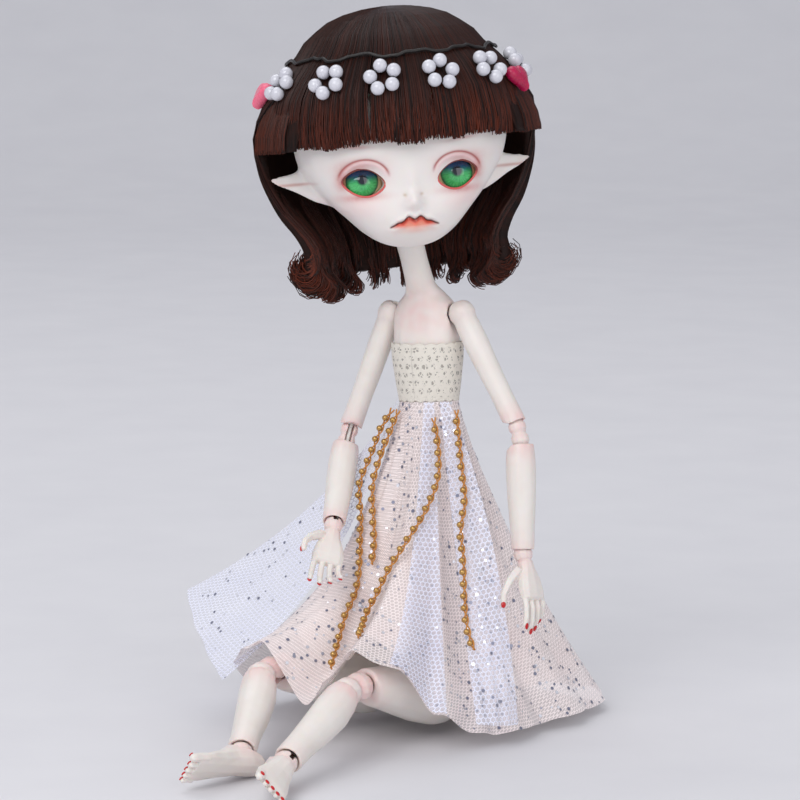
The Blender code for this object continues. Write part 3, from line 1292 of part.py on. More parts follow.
def make_elastics(chest_frame, arms, legs):
    aside = elastic_radius * 1.6
    behind = elastic_radius * 1.6
    for side, sign in sides.items():
        swing, arm, high, low, turn = arms[side]
        points = [in_frame(chest_frame, (sign * seat_gap * 0.6, behind, shoulder_height)),
                  in_frame(chest_frame, (sign * shoulder_half_span * 0.5, behind * 0.5, shoulder_height)),
                  in_frame(arm, (0, 0, 0)),
                  in_frame(arm, (0, 0, -upper_arm_length * 0.18)),
                  in_frame(arm, (0, 0, -upper_arm_length * 0.40)),
                  in_frame(arm, (0, 0, -upper_arm_length * 0.65)),
                  in_frame(arm, (0, 0, -upper_arm_length + elbow_ball_radius)),
                  in_frame(high, (0, 0, -elbow_spacing * 0.5)),
                  in_frame(low, (0, 0, -elbow_ball_radius)),
                  in_frame(low, (0, 0, -forearm_length * 0.35)),
                  in_frame(low, (0, 0, -forearm_length * 0.6)),
                  in_frame(turn, (0, 0, hook_top(wrist_ball_radius) + seat_gap + elastic_radius))]
        elastic_object("arm_elastic_" + side, points, swing, elastic_radius * 10)
        spread, thigh, high, low, turn = legs[side]
        hip = in_frame(thigh, (0, 0, 0))
        waist = in_frame(chest_frame, (sign * aside, -behind * 0.55, 0))
        hook_end = neck_top() + Vector((sign * aside, neck_ball_radius * 0.2, -neck_ball_radius * 0.85))
        points = [in_frame(chest_frame, hook_end),
                  in_frame(chest_frame, Vector((sign * aside, 0, neck_base_height)).lerp(neck_top(), 0.4)),
                  in_frame(chest_frame, (sign * aside, -behind * 0.3, neck_base_height * 0.96)),
                  in_frame(chest_frame, (sign * aside, -behind * 0.55, neck_base_height * 0.66)),
                  in_frame(chest_frame, (sign * aside, -behind * 0.55, neck_base_height * 0.33)),
                  waist,
                  waist.lerp(hip, 0.3), waist.lerp(hip, 0.6), waist.lerp(hip, 0.84), hip,
                  in_frame(thigh, (0, 0, -thigh_length * 0.22)),
                  in_frame(thigh, (0, 0, -thigh_length * 0.5)),
                  in_frame(thigh, (0, 0, -thigh_length + knee_ball_radius)),
                  in_frame(high, (0, 0, -knee_spacing * 0.5)),
                  in_frame(low, (0, 0, -knee_ball_radius)),
                  in_frame(low, (0, 0, -shin_length * 0.35)),
                  in_frame(low, (0, 0, -shin_length * 0.6)),
                  in_frame(turn, (0, 0, hook_top(ankle_ball_radius) + seat_gap + elastic_radius))]
        elastic_object("leg_elastic_" + side, points, spread, elastic_radius * 12)


clear_scene()
make_materials()
seat_setback = pelvis_half_depth * pelvis_shares[0][1]
hips = pivot("hips_frame", None, (0, -seat_setback, 0))
make_pelvis(hips)
waist = pivot("waist_bend", hips, (0, waist_setback, waist_height), "X", -waist_pitch)
chest_frame = pivot("chest_frame", waist, (0, 0, 0), "Y", waist_roll)
make_chest(chest_frame)
turn = pivot("neck_turn", chest_frame, neck_top(), "Z", head_turn)
tilt = pivot("head_tilt", turn, (0, 0, 0), "Y", head_tilt)
nod = pivot("head_nod", tilt, (0, 0, 0), "X", 0.0)
head_frame = pivot("head_frame", nod, (0, -neck_joint_setback, neck_joint_below_eyes))
make_neck_hook(turn, tilt)
make_head(head_frame)
arms = {side: make_arm(chest_frame, side, sign) for side, sign in sides.items()}
legs = {side: make_leg(hips, side, sign) for side, sign in sides.items()}
bpy.context.view_layer.update()
make_elastics(chest_frame, arms, legs)
make_wig(head_frame)
make_headband(head_frame)
make_bodice(chest_frame)
make_skirt(hips, chest_frame)
make_panels(hips, chest_frame)
make_trims(hips)
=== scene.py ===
import json
import math
import random

import bmesh
import bpy
from mathutils import Matrix, Vector, noise
from mathutils.bvhtree import BVHTree


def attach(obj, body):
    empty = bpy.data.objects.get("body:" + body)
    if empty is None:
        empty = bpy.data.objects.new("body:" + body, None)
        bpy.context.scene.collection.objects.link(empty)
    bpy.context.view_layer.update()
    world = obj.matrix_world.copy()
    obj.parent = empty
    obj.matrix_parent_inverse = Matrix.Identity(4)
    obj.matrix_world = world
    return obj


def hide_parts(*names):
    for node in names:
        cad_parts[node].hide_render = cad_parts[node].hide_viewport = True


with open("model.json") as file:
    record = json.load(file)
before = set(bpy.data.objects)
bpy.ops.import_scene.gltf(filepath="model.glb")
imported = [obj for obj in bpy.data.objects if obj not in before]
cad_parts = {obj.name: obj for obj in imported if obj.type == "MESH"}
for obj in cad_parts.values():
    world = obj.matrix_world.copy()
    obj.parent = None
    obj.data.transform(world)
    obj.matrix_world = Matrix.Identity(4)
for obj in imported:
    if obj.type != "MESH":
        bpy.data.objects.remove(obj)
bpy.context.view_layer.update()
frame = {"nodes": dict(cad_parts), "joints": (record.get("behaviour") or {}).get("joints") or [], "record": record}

mm = 0.001
sides = {"left": 1, "right": -1}


def paint(red, green, blue):
    channels = [c / 255 for c in (red, green, blue)]
    return tuple(c / 12.92 if c <= 0.04045 else ((c + 0.055) / 1.055) ** 2.4 for c in channels)


# Where each piece's frame is, from the same turns as the doll's own pose
pose = {
    "seatSetback": 10.2, "waist": (0, 6.0, 68.0), "waistPitch": 3.0, "waistRoll": -4.0,
    "neckBase": 48.6, "neckLength": 24.5, "neckLean": 23.0, "headTurn": 38.0, "headTilt": -3.5,
    "headMiddle": (0, -3.5, 13.5),
    "shoulder": (11.6, 0, 46.4), "hip": (10.8, -2.0, 10.9),
    "arms": {"left": (-1.2, 28.5, -76.0, 12.6, -20.0, 14.0), "right": (-4.0, 22.5, -40.0, 28.0, 0.0, 6.0)},
    "legs": {"left": (-5.5, 101.4, -18.8, 15.9, 70.0, 52.0), "right": (16.6, 102.3, 50.7, 26.4, 0.0, 40.0)},
    "upperArm": 35.6, "elbow": 3.4, "forearm": 31.5, "thigh": 41.8, "knee": 5.6, "shin": 36.6,
}


def turned(parent, *turns):
    for place, axis, degrees in turns:
        turn = Matrix.Rotation(math.radians(degrees), 4, axis)
        parent = parent @ Matrix.Translation(Vector(place) * mm) @ turn
    return parent


here = (0, 0, 0)
hips = Matrix.Translation((0, -pose["seatSetback"] * mm, 0))
chest = turned(hips, (pose["waist"], "X", -pose["waistPitch"]), (here, "Y", pose["waistRoll"]))
lean = math.radians(pose["neckLean"])
neckTop = (0, -math.sin(lean) * pose["neckLength"], pose["neckBase"] + math.cos(lean) * pose["neckLength"])
head = turned(chest, (neckTop, "Z", pose["headTurn"]), (here, "Y", pose["headTilt"]))
head = head @ Matrix.Translation(Vector(pose["headMiddle"]) * mm)
handFrames, footFrames = {}, {}
for side, sign in sides.items():
    swing, lift, twist, elbow, wristTurn, wrist = pose["arms"][side]
    shoulder = (sign * pose["shoulder"][0], *pose["shoulder"][1:])
    arm = turned(chest, (shoulder, "X", swing), (here, "Y", -sign * lift), (here, "Z", sign * twist))
    arm = turned(arm, ((0, 0, -pose["upperArm"]), "X", -elbow), ((0, 0, -pose["elbow"]), "X", -elbow))
    handFrames[side] = turned(arm, ((0, 0, -pose["forearm"]), "Z", sign * wristTurn), (here, "X", wrist))
    spread, flex, twist, knee, ankleTurn, ankle = pose["legs"][side]
    hip = (sign * pose["hip"][0], *pose["hip"][1:])
    leg = turned(hips, (hip, "Z", sign * spread), (here, "X", -flex), (here, "Z", sign * twist))
    leg = turned(leg, ((0, 0, -pose["thigh"]), "X", knee), ((0, 0, -pose["knee"]), "X", knee))
    footFrames[side] = turned(leg, ((0, 0, -pose["shin"]), "Z", sign * ankleTurn), (here, "X", ankle))


# The photograph's view
view = {
    "eye": (0.5897, -0.9645, 0.2689), "azimuth": 32.0, "elevation": 9.0, "lens": 184.8, "sensor": 36,
    "near": 0.05, "far": 50,
}


def makeView():
    azimuth, elevation = math.radians(view["azimuth"]), math.radians(view["elevation"])
    back = Vector((math.sin(azimuth) * math.cos(elevation), -math.cos(azimuth) * math.cos(elevation),
                   math.sin(elevation)))
    camera = bpy.data.objects.new("camera", bpy.data.cameras.new("camera"))
    camera.data.lens = view["lens"]
    camera.data.sensor_width = view["sensor"]
    camera.data.clip_start, camera.data.clip_end = view["near"], view["far"]
    camera.location = view["eye"]
    camera.rotation_mode = "QUATERNION"
    camera.rotation_quaternion = (-back).to_track_quat("-Z", "Y")
    bpy.context.scene.collection.objects.link(camera)
    bpy.context.scene.camera = camera
    bpy.context.scene.view_settings.view_transform = "Standard"


makeView()
print("view ready")


# Shader maths: a socket that takes part in sums
def operator(operation, flip=False):
    return lambda value, other: value.maths(operation, other, flip)


class Value:
    __add__, __radd__ = operator("ADD"), operator("ADD", True)
    __sub__, __rsub__ = operator("SUBTRACT"), operator("SUBTRACT", True)
    __mul__, __rmul__ = operator("MULTIPLY"), operator("MULTIPLY", True)
    __truediv__, __pow__ = operator("DIVIDE"), operator("POWER")
    least, most = operator("MINIMUM"), operator("MAXIMUM")
    wrap, below = operator("FLOORED_MODULO"), operator("LESS_THAN")

    def __init__(self, shade, socket):
        self.shade, self.socket = shade, socket

    def __neg__(self):
        return self.maths("MULTIPLY", -1.0)

    def __abs__(self):
        return self.maths("ABSOLUTE")

    def maths(self, operation, other=None, flip=False):
        parts = {0: self} if other is None else ({0: other, 1: self} if flip else {0: self, 1: other})
        return self.shade.node("ShaderNodeMath", {"operation": operation}, parts)

    def bell(self, middle, size):
        across = (self - middle) / size
        return (-(across * across)).maths("EXPONENT")

    def ramp(self, low, high, first=0.0, last=1.0):
        return self.shade.node("ShaderNodeMapRange", {"interpolation_type": "SMOOTHSTEP"},
                               {0: self, 1: low, 2: high, 3: first, 4: last})


class Shade:
    def __init__(self, name):
        self.material = bpy.data.materials.new(name)
        self.material.use_nodes = True
        self.tree = self.material.node_tree
        self.shader = self.tree.nodes["Principled BSDF"]

    def node(self, kind, settings=None, parts=None, out=0):
        made = self.tree.nodes.new(kind)
        for name, value in (settings or {}).items():
            setattr(made, name, value)
        for key, value in (parts or {}).items():
            self.feed(made.inputs[key], value)
        return Value(self, made.outputs[out])

    def feed(self, socket, value):
        if isinstance(value, Value):
            self.tree.links.new(value.socket, socket)
        elif socket.type == "RGBA" and len(value) == 3:
            socket.default_value = (*value, 1)
        else:
            socket.default_value = value

    def set(self, **values):
        names = {"colour": "Base Color", "roughness": "Roughness", "metallic": "Metallic", "alpha": "Alpha",
                 "coat": "Coat Weight", "coatRoughness": "Coat Roughness", "sheen": "Sheen Weight",
                 "subsurface": "Subsurface Weight", "subsurfaceScale": "Subsurface Scale", "ior": "IOR",
                 "normal": "Normal", "specular": "Specular IOR Level", "transmission": "Transmission Weight"}
        for name, value in values.items():
            self.feed(self.shader.inputs[names[name]], value)
        return self.material

    def mix(self, factor, first, second):
        return self.node("ShaderNodeMix", {"data_type": "RGBA"}, {0: factor, 6: first, 7: second}, 2)

    def place(self, attribute=None):
        if attribute:
            source = self.node("ShaderNodeAttribute", {"attribute_name": attribute}, out=1)
        else:
            source = self.node("ShaderNodeTexCoord", out=3)
        split = self.node("ShaderNodeSeparateXYZ", parts={0: source}).socket.node
        return source, [Value(self, socket) for socket in split.outputs]

    def amount(self, attribute):
        return self.node("ShaderNodeAttribute", {"attribute_name": attribute}, out=2)

    def flat(self):
        source = self.node("ShaderNodeUVMap", {"uv_map": "flat"})
        split = self.node("ShaderNodeSeparateXYZ", parts={0: source}).socket.node
        return source, [Value(self, split.outputs[0]), Value(self, split.outputs[1])]

    def cloud(self, source, scale, detail=3.0):
        return self.node("ShaderNodeTexNoise", None, {"Vector": source, "Scale": scale, "Detail": detail})

    def bump(self, height, strength, distance):
        parts = {"Height": height, "Strength": strength, "Distance": distance}
        return self.node("ShaderNodeBump", None, parts)

    def spot(self, x, z, middle, size):
        across, up = (x - middle[0]) / size[0], (z - middle[1]) / size[1]
        return (-(across * across + up * up)).maths("EXPONENT")


skin = {"pale": paint(238, 233, 228), "deep": paint(228, 219, 211), "blush": paint(240, 158, 160)}


def makeResin():
    shade = Shade("doll_resin")
    source, _ = shade.place()
    mottle = shade.cloud(source, 180.0)
    colour = shade.mix(mottle, skin["pale"], skin["deep"])
    colour = shade.mix(shade.amount("blush") * 0.75, colour, skin["blush"])
    fine = shade.cloud(source, 2600.0, 2.0)
    return shade.set(colour=colour, roughness=0.36 + mottle * 0.12, normal=shade.bump(fine, 0.12, 0.00005),
                     subsurface=0.12, subsurfaceScale=0.0025, specular=0.42)


# The face's paint, with painted shade in the nostrils and in the ears' folds, in millimetres from the middle of the
# head: across and up, then half sizes
makeup = {
    "cheek": ((15.0, -6.5), (6.0, 3.2)), "noseSide": ((6.8, 1.5), (1.6, 3.0)), "cheekShare": 0.22,
    "overEye": ((14.3, 4.6), (5.4, 2.0)), "outerEye": ((18.1, 0.9), (1.9, 2.8)),
    "underEye": ((13.5, -3.9), (5.6, 1.1)), "chin": ((0.0, -13.9), (4.6, 0.8)),
    "lipShade": ((1.0, -0.5), (3.2, 0.45)), "nostrilShadeSpot": ((2.3, -4.2), (0.55, 0.42)),
    "earFoldShade": ((30.0, 0.6), (6.5, 0.45)), "brow": ((14.5, 8.3), (4.2, 0.5)), "earTip": (31.0, 36.5),
    "white": paint(236, 228, 224), "shadow": paint(196, 92, 88), "liner": paint(120, 52, 46),
    "rim": paint(214, 96, 92), "crease": paint(168, 62, 58), "lid": paint(240, 206, 208),
    "lip": paint(222, 62, 30), "lipPale": paint(240, 150, 124), "lipLine": paint(88, 20, 12),
    # fold colours the painted shade in the ears, and the nostril colour the painted shadow under the nose
    "glow": paint(240, 172, 150), "fold": paint(196, 138, 128), "nostrilShade": paint(196, 170, 142),
    "browColour": paint(214, 140, 138),
}
# The lid's fold is an oval round each eye; the mouth's upper edge has two peaks a side
lidOval = {"middle": (12.7, 0.8), "half": (6.7, 5.4)}
mouth = {"height": -11.15, "half": 6.6, "droop": 1.55, "power": 1.5, "low": -13.3, "lowRise": 0.75,
         "peaks": ((1.7, 1.2, 1.15), (4.4, 0.9, 0.3))}


def makeFaceSkin():
    shade = Shade("doll_face")
    source, (x, _, z) = shade.place("place")
    wide = abs(x)
    spots = {name: shade.spot(wide, z, *makeup[name]) for name in ("cheek", "noseSide", "overEye", "outerEye")}
    colour = shade.mix(shade.cloud(source, 0.2), skin["pale"], makeup["white"])
    cheek = spots["cheek"] + spots["noseSide"] * 0.7
    colour = shade.mix(cheek * makeup["cheekShare"], colour, skin["blush"])
    shadow = spots["overEye"] * z.ramp(-1.0, 2.5) * 0.50 + spots["outerEye"] * 0.80
    shadow = shadow + shade.spot(wide, z, *makeup["underEye"]) * 0.62
    stray = shade.cloud(source, 0.9) * 0.5 + 0.72
    colour = shade.mix(shadow.least(0.9) * stray, colour, makeup["shadow"])
    (ovalX, ovalZ), (halfX, halfZ) = lidOval["middle"], lidOval["half"]
    ring = shade.node("ShaderNodeMath", {"operation": "SQRT"},
                      {0: ((wide - ovalX) / halfX) ** 2 + ((z - ovalZ) / halfZ) ** 2})
    colour = shade.mix(ring.bell(1.0, 0.06) * z.ramp(0.6, 3.2) * 0.8, colour, makeup["crease"])
    colour = shade.mix(ring.bell(0.85, 0.08) * z.ramp(1.2, 3.4) * 0.6, colour, makeup["lid"])
    # the lower lip fades out downwards
    far = wide / mouth["half"]
    peaks = [wide.bell(middle, half) * rise for middle, half, rise in mouth["peaks"]]
    top = mouth["height"] + (peaks[0] + peaks[1]) - far ** mouth["power"] * mouth["droop"]
    bottom = mouth["low"] + far ** 2 * mouth["lowRise"]
    reach = (mouth["half"] - wide).ramp(-0.1, 0.6)
    inside = (z - bottom).ramp(-0.8, 0.9) * (top - z).ramp(-0.12, 0.12) * reach
    lips = shade.mix((top - z).ramp(0.3, 2.3), makeup["lip"], makeup["lipPale"])
    colour = shade.mix(inside * 0.95, colour, lips)
    colour = shade.mix(shade.spot(wide, z, *makeup["chin"]) * 0.5, colour, makeup["glow"])
    line = (z - top).bell(0.0, 0.30) * (mouth["half"] + 0.3 - wide).ramp(-0.1, 0.6)
    line = line.most(shade.spot(wide, z - top, *makeup["lipShade"]) * 0.55)
    colour = shade.mix(line * 0.94, colour, makeup["lipLine"])
    # painted shadow in the nostrils
    colour = shade.mix(shade.spot(wide, z, *makeup["nostrilShadeSpot"]) * 0.6, colour, makeup["nostrilShade"])
    # painted shade along each ear's fold, and a darker tint towards the ear's tip
    fold = shade.spot(wide, z, *makeup["earFoldShade"]) * wide.ramp(23.0, 26.0)
    colour = shade.mix(fold * 0.7 + wide.ramp(*makeup["earTip"]) * 0.25, colour, makeup["fold"])
    brow = shade.spot(wide, z - wide * 0.1, *makeup["brow"])
    colour = shade.mix(brow * 0.45, colour, makeup["browColour"])
    fine = shade.cloud(source, 2.4, 2.0)
    return shade.set(colour=colour, roughness=inside * -0.14 + 0.40, normal=shade.bump(fine, 0.10, 0.00005),
                     subsurface=0.12, subsurfaceScale=0.0025, specular=0.42)


def makeLidPaint():
    shade = Shade("lid_paint")
    z = shade.place("place")[1][2]
    colour = shade.mix(z.ramp(-1.0, 1.6), makeup["rim"], makeup["liner"])
    return shade.set(colour=colour, roughness=0.42 + z.ramp(-3, 3) * 0.05)


def makeEyeGlass():
    shade = Shade("eye_glass")
    source, (x, _, z) = shade.place("place")
    out = shade.node("ShaderNodeMath", {"operation": "SQRT"}, {0: x * x + z * z})
    angle = shade.node("ShaderNodeMath", {"operation": "ARCTAN2"}, {0: z, 1: x})
    rays = shade.node("ShaderNodeTexNoise", {"noise_dimensions": "2D"},
                      {"Vector": shade.node("ShaderNodeCombineXYZ", None, {0: angle * 6.0, 1: out * 0.5}),
                       "Scale": 1.6, "Detail": 4.0})
    green = shade.mix(rays, paint(14, 112, 62), paint(84, 222, 120))
    blue = shade.mix(rays, paint(8, 34, 84), paint(20, 92, 146))
    iris = shade.mix((z + rays * 1.6).ramp(0.2, 2.9), green, blue)
    pupil = shade.node("ShaderNodeMath", {"operation": "SQRT"}, {0: x * x + (z - 0.5) * (z - 0.5)})
    iris = shade.mix(pupil.ramp(0.9, 1.9, 1.0, 0.0), iris, paint(4, 14, 34))
    iris = shade.mix(out.ramp(3.5, 4.4) * 0.8, iris, paint(8, 44, 40))
    iris = shade.mix(z.ramp(1.6, 3.4) * 0.7, iris, paint(6, 20, 40))
    white = shade.mix(shade.cloud(source, 0.6), paint(226, 208, 160), paint(226, 186, 150))
    colour = shade.mix(out.ramp(4.3, 4.6), iris, white)
    return shade.set(colour=colour, roughness=rays * 0.03 + 0.06, coat=0.8, coatRoughness=0.03)


def makeHairShade():
    shade = Shade("hair_fibre")
    tone, along = shade.amount("tone"), shade.amount("along")
    colour = shade.mix(tone, paint(22, 8, 5), paint(70, 27, 14))
    # the tips turn lighter and redder: painted light shining through the thin ends
    colour = shade.mix(along.ramp(0.5, 1.0) * tone * 0.9, colour, paint(118, 48, 24))
    source, _ = shade.place()
    return shade.set(colour=colour, roughness=0.36 + shade.cloud(source, 300.0) * 0.16, specular=0.32)


def makeHairBase():
    shade = Shade("hair_cap")
    source, _ = shade.flat()
    combed = shade.node("ShaderNodeTexNoise", None,
                        {"Vector": shade.node("ShaderNodeMapping", None, {0: source, "Scale": (220.0, 5.0, 1.0)}),
                         "Scale": 3.0, "Detail": 4.0})
    colour = shade.mix(combed.ramp(0.3, 0.75), paint(14, 5, 3), paint(44, 17, 9))
    return shade.set(colour=colour, roughness=0.55 + combed * 0.15, normal=shade.bump(combed, 0.5, 0.0002),
                     specular=0.2)


def makePearl():
    shade = Shade("pearl")
    source, _ = shade.place()
    colour = shade.mix(shade.cloud(source, 250.0), paint(222, 222, 228), paint(196, 195, 206))
    return shade.set(colour=colour, roughness=0.16 + shade.cloud(source, 400.0) * 0.08, coat=0.6,
                     coatRoughness=0.08, specular=0.6)


def makeGold():
    shade = Shade("gold_beads")
    bead = shade.amount("bead")
    source, _ = shade.place()
    wear = shade.cloud(source, 900.0)
    colour = shade.mix(bead, shade.mix(wear, paint(214, 150, 76), paint(178, 112, 48)),
                       shade.mix(wear, paint(214, 176, 112), paint(166, 120, 60)))
    return shade.set(colour=colour, roughness=0.75 - bead * 0.45, metallic=bead * 0.85)


def makePlastic(name, pale, deep):
    shade = Shade(name)
    source, _ = shade.place()
    colour = shade.mix(shade.cloud(source, 260.0), pale, deep)
    return shade.set(colour=colour, roughness=0.22 + shade.cloud(source, 900.0) * 0.12, subsurface=0.15,
                     subsurfaceScale=0.002)


def makePlain(name, pale, deep, roughness, metallic=0.0, scale=900.0):
    shade = Shade(name)
    source, _ = shade.place()
    grain = shade.cloud(source, scale)
    return shade.set(colour=shade.mix(grain, pale, deep), roughness=roughness + grain * 0.1, metallic=metallic,
                     normal=shade.bump(grain, 0.2, 0.00005))


def hexEdge(u, v, size):
    tall = size * math.sqrt(3)
    ax, ay = u.wrap(size) - size / 2, v.wrap(tall) - tall / 2
    bx, by = (u - size / 2).wrap(size) - size / 2, (v - tall / 2).wrap(tall) - tall / 2
    far = (ax * ax + ay * ay).below(bx * bx + by * by)
    gx, gy = abs(ax * far + bx * (1 - far)), abs(ay * far + by * (1 - far))
    return size / 2 - gx.most(gx * 0.5 + gy * (math.sqrt(3) / 2))


netLooks = {
    "pink": {"cell": 1.15, "wire": 0.12, "veil": 0.55, "pale": paint(255, 247, 245), "deep": paint(251, 233, 232)},
    "white": {"cell": 1.45, "wire": 0.15, "veil": 0.30, "pale": paint(240, 241, 252), "deep": paint(216, 219, 242)},
}


def makeNet(kind):
    look = netLooks[kind]
    shade = Shade("tulle_" + kind)
    source, (u, v) = shade.flat()
    drift = shade.cloud(source, 0.02)
    edge = hexEdge(u, v + drift * 3.0, look["cell"])
    wire = edge.ramp(look["wire"] * 0.6, look["wire"] * 1.7, 1.0, 0.0)
    colour = shade.mix(shade.cloud(source, 0.08), look["pale"], look["deep"])
    return shade.set(colour=colour, alpha=wire * (0.92 - look["veil"]) + look["veil"], roughness=0.7 + drift * 0.1,
                     sheen=0.3)


def makeLining():
    shade = Shade("skirt_lining")
    source, (u, v) = shade.flat()
    soft = shade.cloud(source, 0.12)
    weave = (u * 9.0).maths("SINE") * (v * 9.0).maths("SINE")
    colour = shade.mix(soft, paint(255, 250, 244), paint(255, 240, 236))
    return shade.set(colour=colour, alpha=0.62 + soft * 0.2, roughness=0.85 + weave * 0.03,
                     normal=shade.bump(weave, 0.2, 0.0001))


def makeLace():
    shade = Shade("lace")
    source, (u, v) = shade.flat()
    drift = shade.cloud(source, 0.5)
    edge = hexEdge(u + drift * 0.8, v + drift * 0.6, 2.6)
    cells = shade.node("ShaderNodeTexVoronoi", {"feature": "DISTANCE_TO_EDGE"}, {"Vector": source, "Scale": 0.95})
    net = cells.ramp(0.10, 0.16)
    flower = edge.ramp(0.35, 0.75)
    band = (v.ramp(0.5, 1.1, 1.0, 0.0) + v.ramp(14.6, 15.2)).least(1.0)
    holes = net * flower * (1 - band)
    twist = (u * 14.0 + v * 9.0).maths("SINE") * (v * 12.0 - u * 7.0).maths("SINE")
    colour = shade.mix(twist * 0.5 + 0.5, paint(252, 248, 240), paint(238, 229, 214))
    return shade.set(colour=colour, alpha=1 - holes * 0.6, roughness=0.85 + twist * 0.04,
                     normal=shade.bump(twist * 0.6 - net * flower, 0.6, 0.00025))


def makeGlitter():
    shade = Shade("glitter")
    tone = shade.amount("tone")
    colour = shade.mix(tone.ramp(0.3, 0.9), paint(128, 130, 150), paint(248, 248, 255))
    return shade.set(colour=colour, metallic=0.35 + tone * 0.2, roughness=0.30 - tone * 0.1)


looks = {
    "resin": makeResin(), "face": makeFaceSkin(), "lids": makeLidPaint(), "eye": makeEyeGlass(),
    "hair": makeHairShade(), "hairCap": makeHairBase(), "pearl": makePearl(), "gold": makeGold(),
    "heartDark": makePlastic("heart_dark", paint(196, 26, 84), paint(158, 14, 62)),
    "heartLight": makePlastic("heart_light", paint(250, 128, 154), paint(238, 98, 130)),
    "nail": makePlastic("nail_paint", paint(214, 26, 30), paint(176, 14, 20)),
    "steel": makePlain("hook_steel", paint(176, 178, 182), paint(140, 142, 148), 0.22, 1.0),
    "elastic": makePlain("elastic_cord", paint(242, 242, 238), paint(220, 220, 214), 0.78),
    "wire": makePlain("black_wire", paint(22, 20, 20), paint(44, 40, 38), 0.36, 0.2),
    "netPink": makeNet("pink"), "netWhite": makeNet("white"), "lining": makeLining(), "lace": makeLace(),
    "glitter": makeGlitter(),
}
print("materials ready")


# Small helpers for meshes
def addPiece(name, points, faces, look):
    mesh = bpy.data.meshes.new(name)
    mesh.from_pydata([tuple(p) for p in points], [], faces)
    mesh.materials.append(looks[look])
    mesh.shade_smooth()
    made = bpy.data.objects.new(name, mesh)
    bpy.context.scene.collection.objects.link(made)
    return made


def giveNumbers(made, name, values):
    layer = made.data.attributes.get(name) or made.data.attributes.new(name, "FLOAT", "POINT")
    layer.data.foreach_set("value", [float(v) for v in values])


def givePlaces(made, name, places):
    layer = made.data.attributes.get(name) or made.data.attributes.new(name, "FLOAT_VECTOR", "POINT")
    layer.data.foreach_set("vector", [c for place in places for c in place])


def giveFlat(made, places):
    layer = made.data.uv_layers.new(name="flat")
    for loop in made.data.loops:
        layer.data[loop.index].uv = places[loop.vertex_index]


def baked(made):
    bpy.context.view_layer.update()
    mesh = bpy.data.meshes.new_from_object(made.evaluated_get(bpy.context.evaluated_depsgraph_get()))
    made.modifiers.clear()
    made.data = mesh


def outward(made):
    shape = bmesh.new()
    shape.from_mesh(made.data)
    bmesh.ops.remove_doubles(shape, verts=shape.verts, dist=1e-7)
    bmesh.ops.recalc_face_normals(shape, faces=shape.faces)
    shape.to_mesh(made.data)
    shape.free()
    made.data.shade_smooth()


def worn(made, body, slot, *nodes):
    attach(made, body)
    if nodes:
        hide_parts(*nodes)


def ballPoints(rows, around):
    points = []
    for k in range(1, rows):
        level = math.pi * k / rows
        for i in range(around):
            angle = math.tau * i / around
            across = math.sin(level)
            points.append(Vector((across * math.cos(angle), across * math.sin(angle), math.cos(level))))
    return points


def ringFaces(rings, around, closed=True, caps=True):
    faces = []
    for k in range(rings - 1):
        for i in range(around if closed else around - 1):
            j = (i + 1) % around
            faces.append((k * around + i, k * around + j, (k + 1) * around + j, (k + 1) * around + i))
    if caps:
        faces += [tuple(range(around))[::-1], tuple(range((rings - 1) * around, rings * around))]
    return faces


def smoothValue(values, share):
    last = len(values) - 1
    along = min(max(share, 0.0), 1.0) * last
    i = min(int(along), last - 1)
    t = along - i
    before = values[max(i - 1, 0)] if i else 2 * values[0] - values[1]
    after = values[i + 2] if i + 2 <= last else 2 * values[last] - values[last - 1]
    a, b = values[i], values[i + 1]
    square, cube = 2 * before - 5 * a + 4 * b - after, 3 * (a - b) + after - before
    return a + t / 2 * (b - before + t * (square + t * cube))


def smoothRoute(points, step):
    points = [Vector(p) for p in points]
    fine, pieces = [], 24
    total = (len(points) - 1) * pieces
    for k in range(total + 1):
        fine.append(Vector([smoothValue([p[axis] for p in points], k / total) for axis in range(3)]))
    travelled = [0.0]
    for first, second in zip(fine, fine[1:]):
        travelled.append(travelled[-1] + (second - first).length)
    count, route, i = max(2, round(travelled[-1] / step)), [], 0
    for k in range(count + 1):
        goal = travelled[-1] * k / count
        while i < len(fine) - 2 and travelled[i + 1] < goal:
            i += 1
        part = (goal - travelled[i]) / max(travelled[i + 1] - travelled[i], 1e-12)
        route.append(fine[i].lerp(fine[i + 1], min(part, 1.0)))
    return route


# Geometry node trees: one method adds a node, another names an input
class Plant:
    def __init__(self, name, inputs):
        self.tree = bpy.data.node_groups.new(name, "GeometryNodeTree")
        self.keys = {}
        self.tree.interface.new_socket("Geometry", in_out="INPUT", socket_type="NodeSocketGeometry")
        for label, kind in inputs.items():
            made = self.tree.interface.new_socket(label, in_out="INPUT", socket_type=kind)
            self.keys[label] = made.identifier
        self.tree.interface.new_socket("Geometry", in_out="OUTPUT", socket_type="NodeSocketGeometry")
        self.source = self.tree.nodes.new("NodeGroupInput")

    def add(self, kind, settings=None, parts=None, out=0):
        made = self.tree.nodes.new(kind)
        for name, value in (settings or {}).items():
            setattr(made, name, value)
        for key, value in (parts or {}).items():
            if isinstance(value, bpy.types.NodeSocket):
                self.tree.links.new(value, made.inputs[key])
            else:
                made.inputs[key].default_value = value
        return made.outputs[out]

    def given(self, label):
        return self.source.outputs[label]

    def end(self, geometry, look):
        solid = self.add("GeometryNodeRealizeInstances", None, {0: geometry})
        painted = self.add("GeometryNodeSetMaterial", None, {"Geometry": solid, "Material": looks[look]})
        self.tree.links.new(painted, self.tree.nodes.new("NodeGroupOutput").inputs[0])
        return self

    def grow(self, made, values):
        modifier = made.modifiers.new(self.tree.name, "NODES")
        modifier.node_group = self.tree
        for label, value in values.items():
            modifier[self.keys[label]] = value
        baked(made)
        made.data.shade_smooth()
        return made


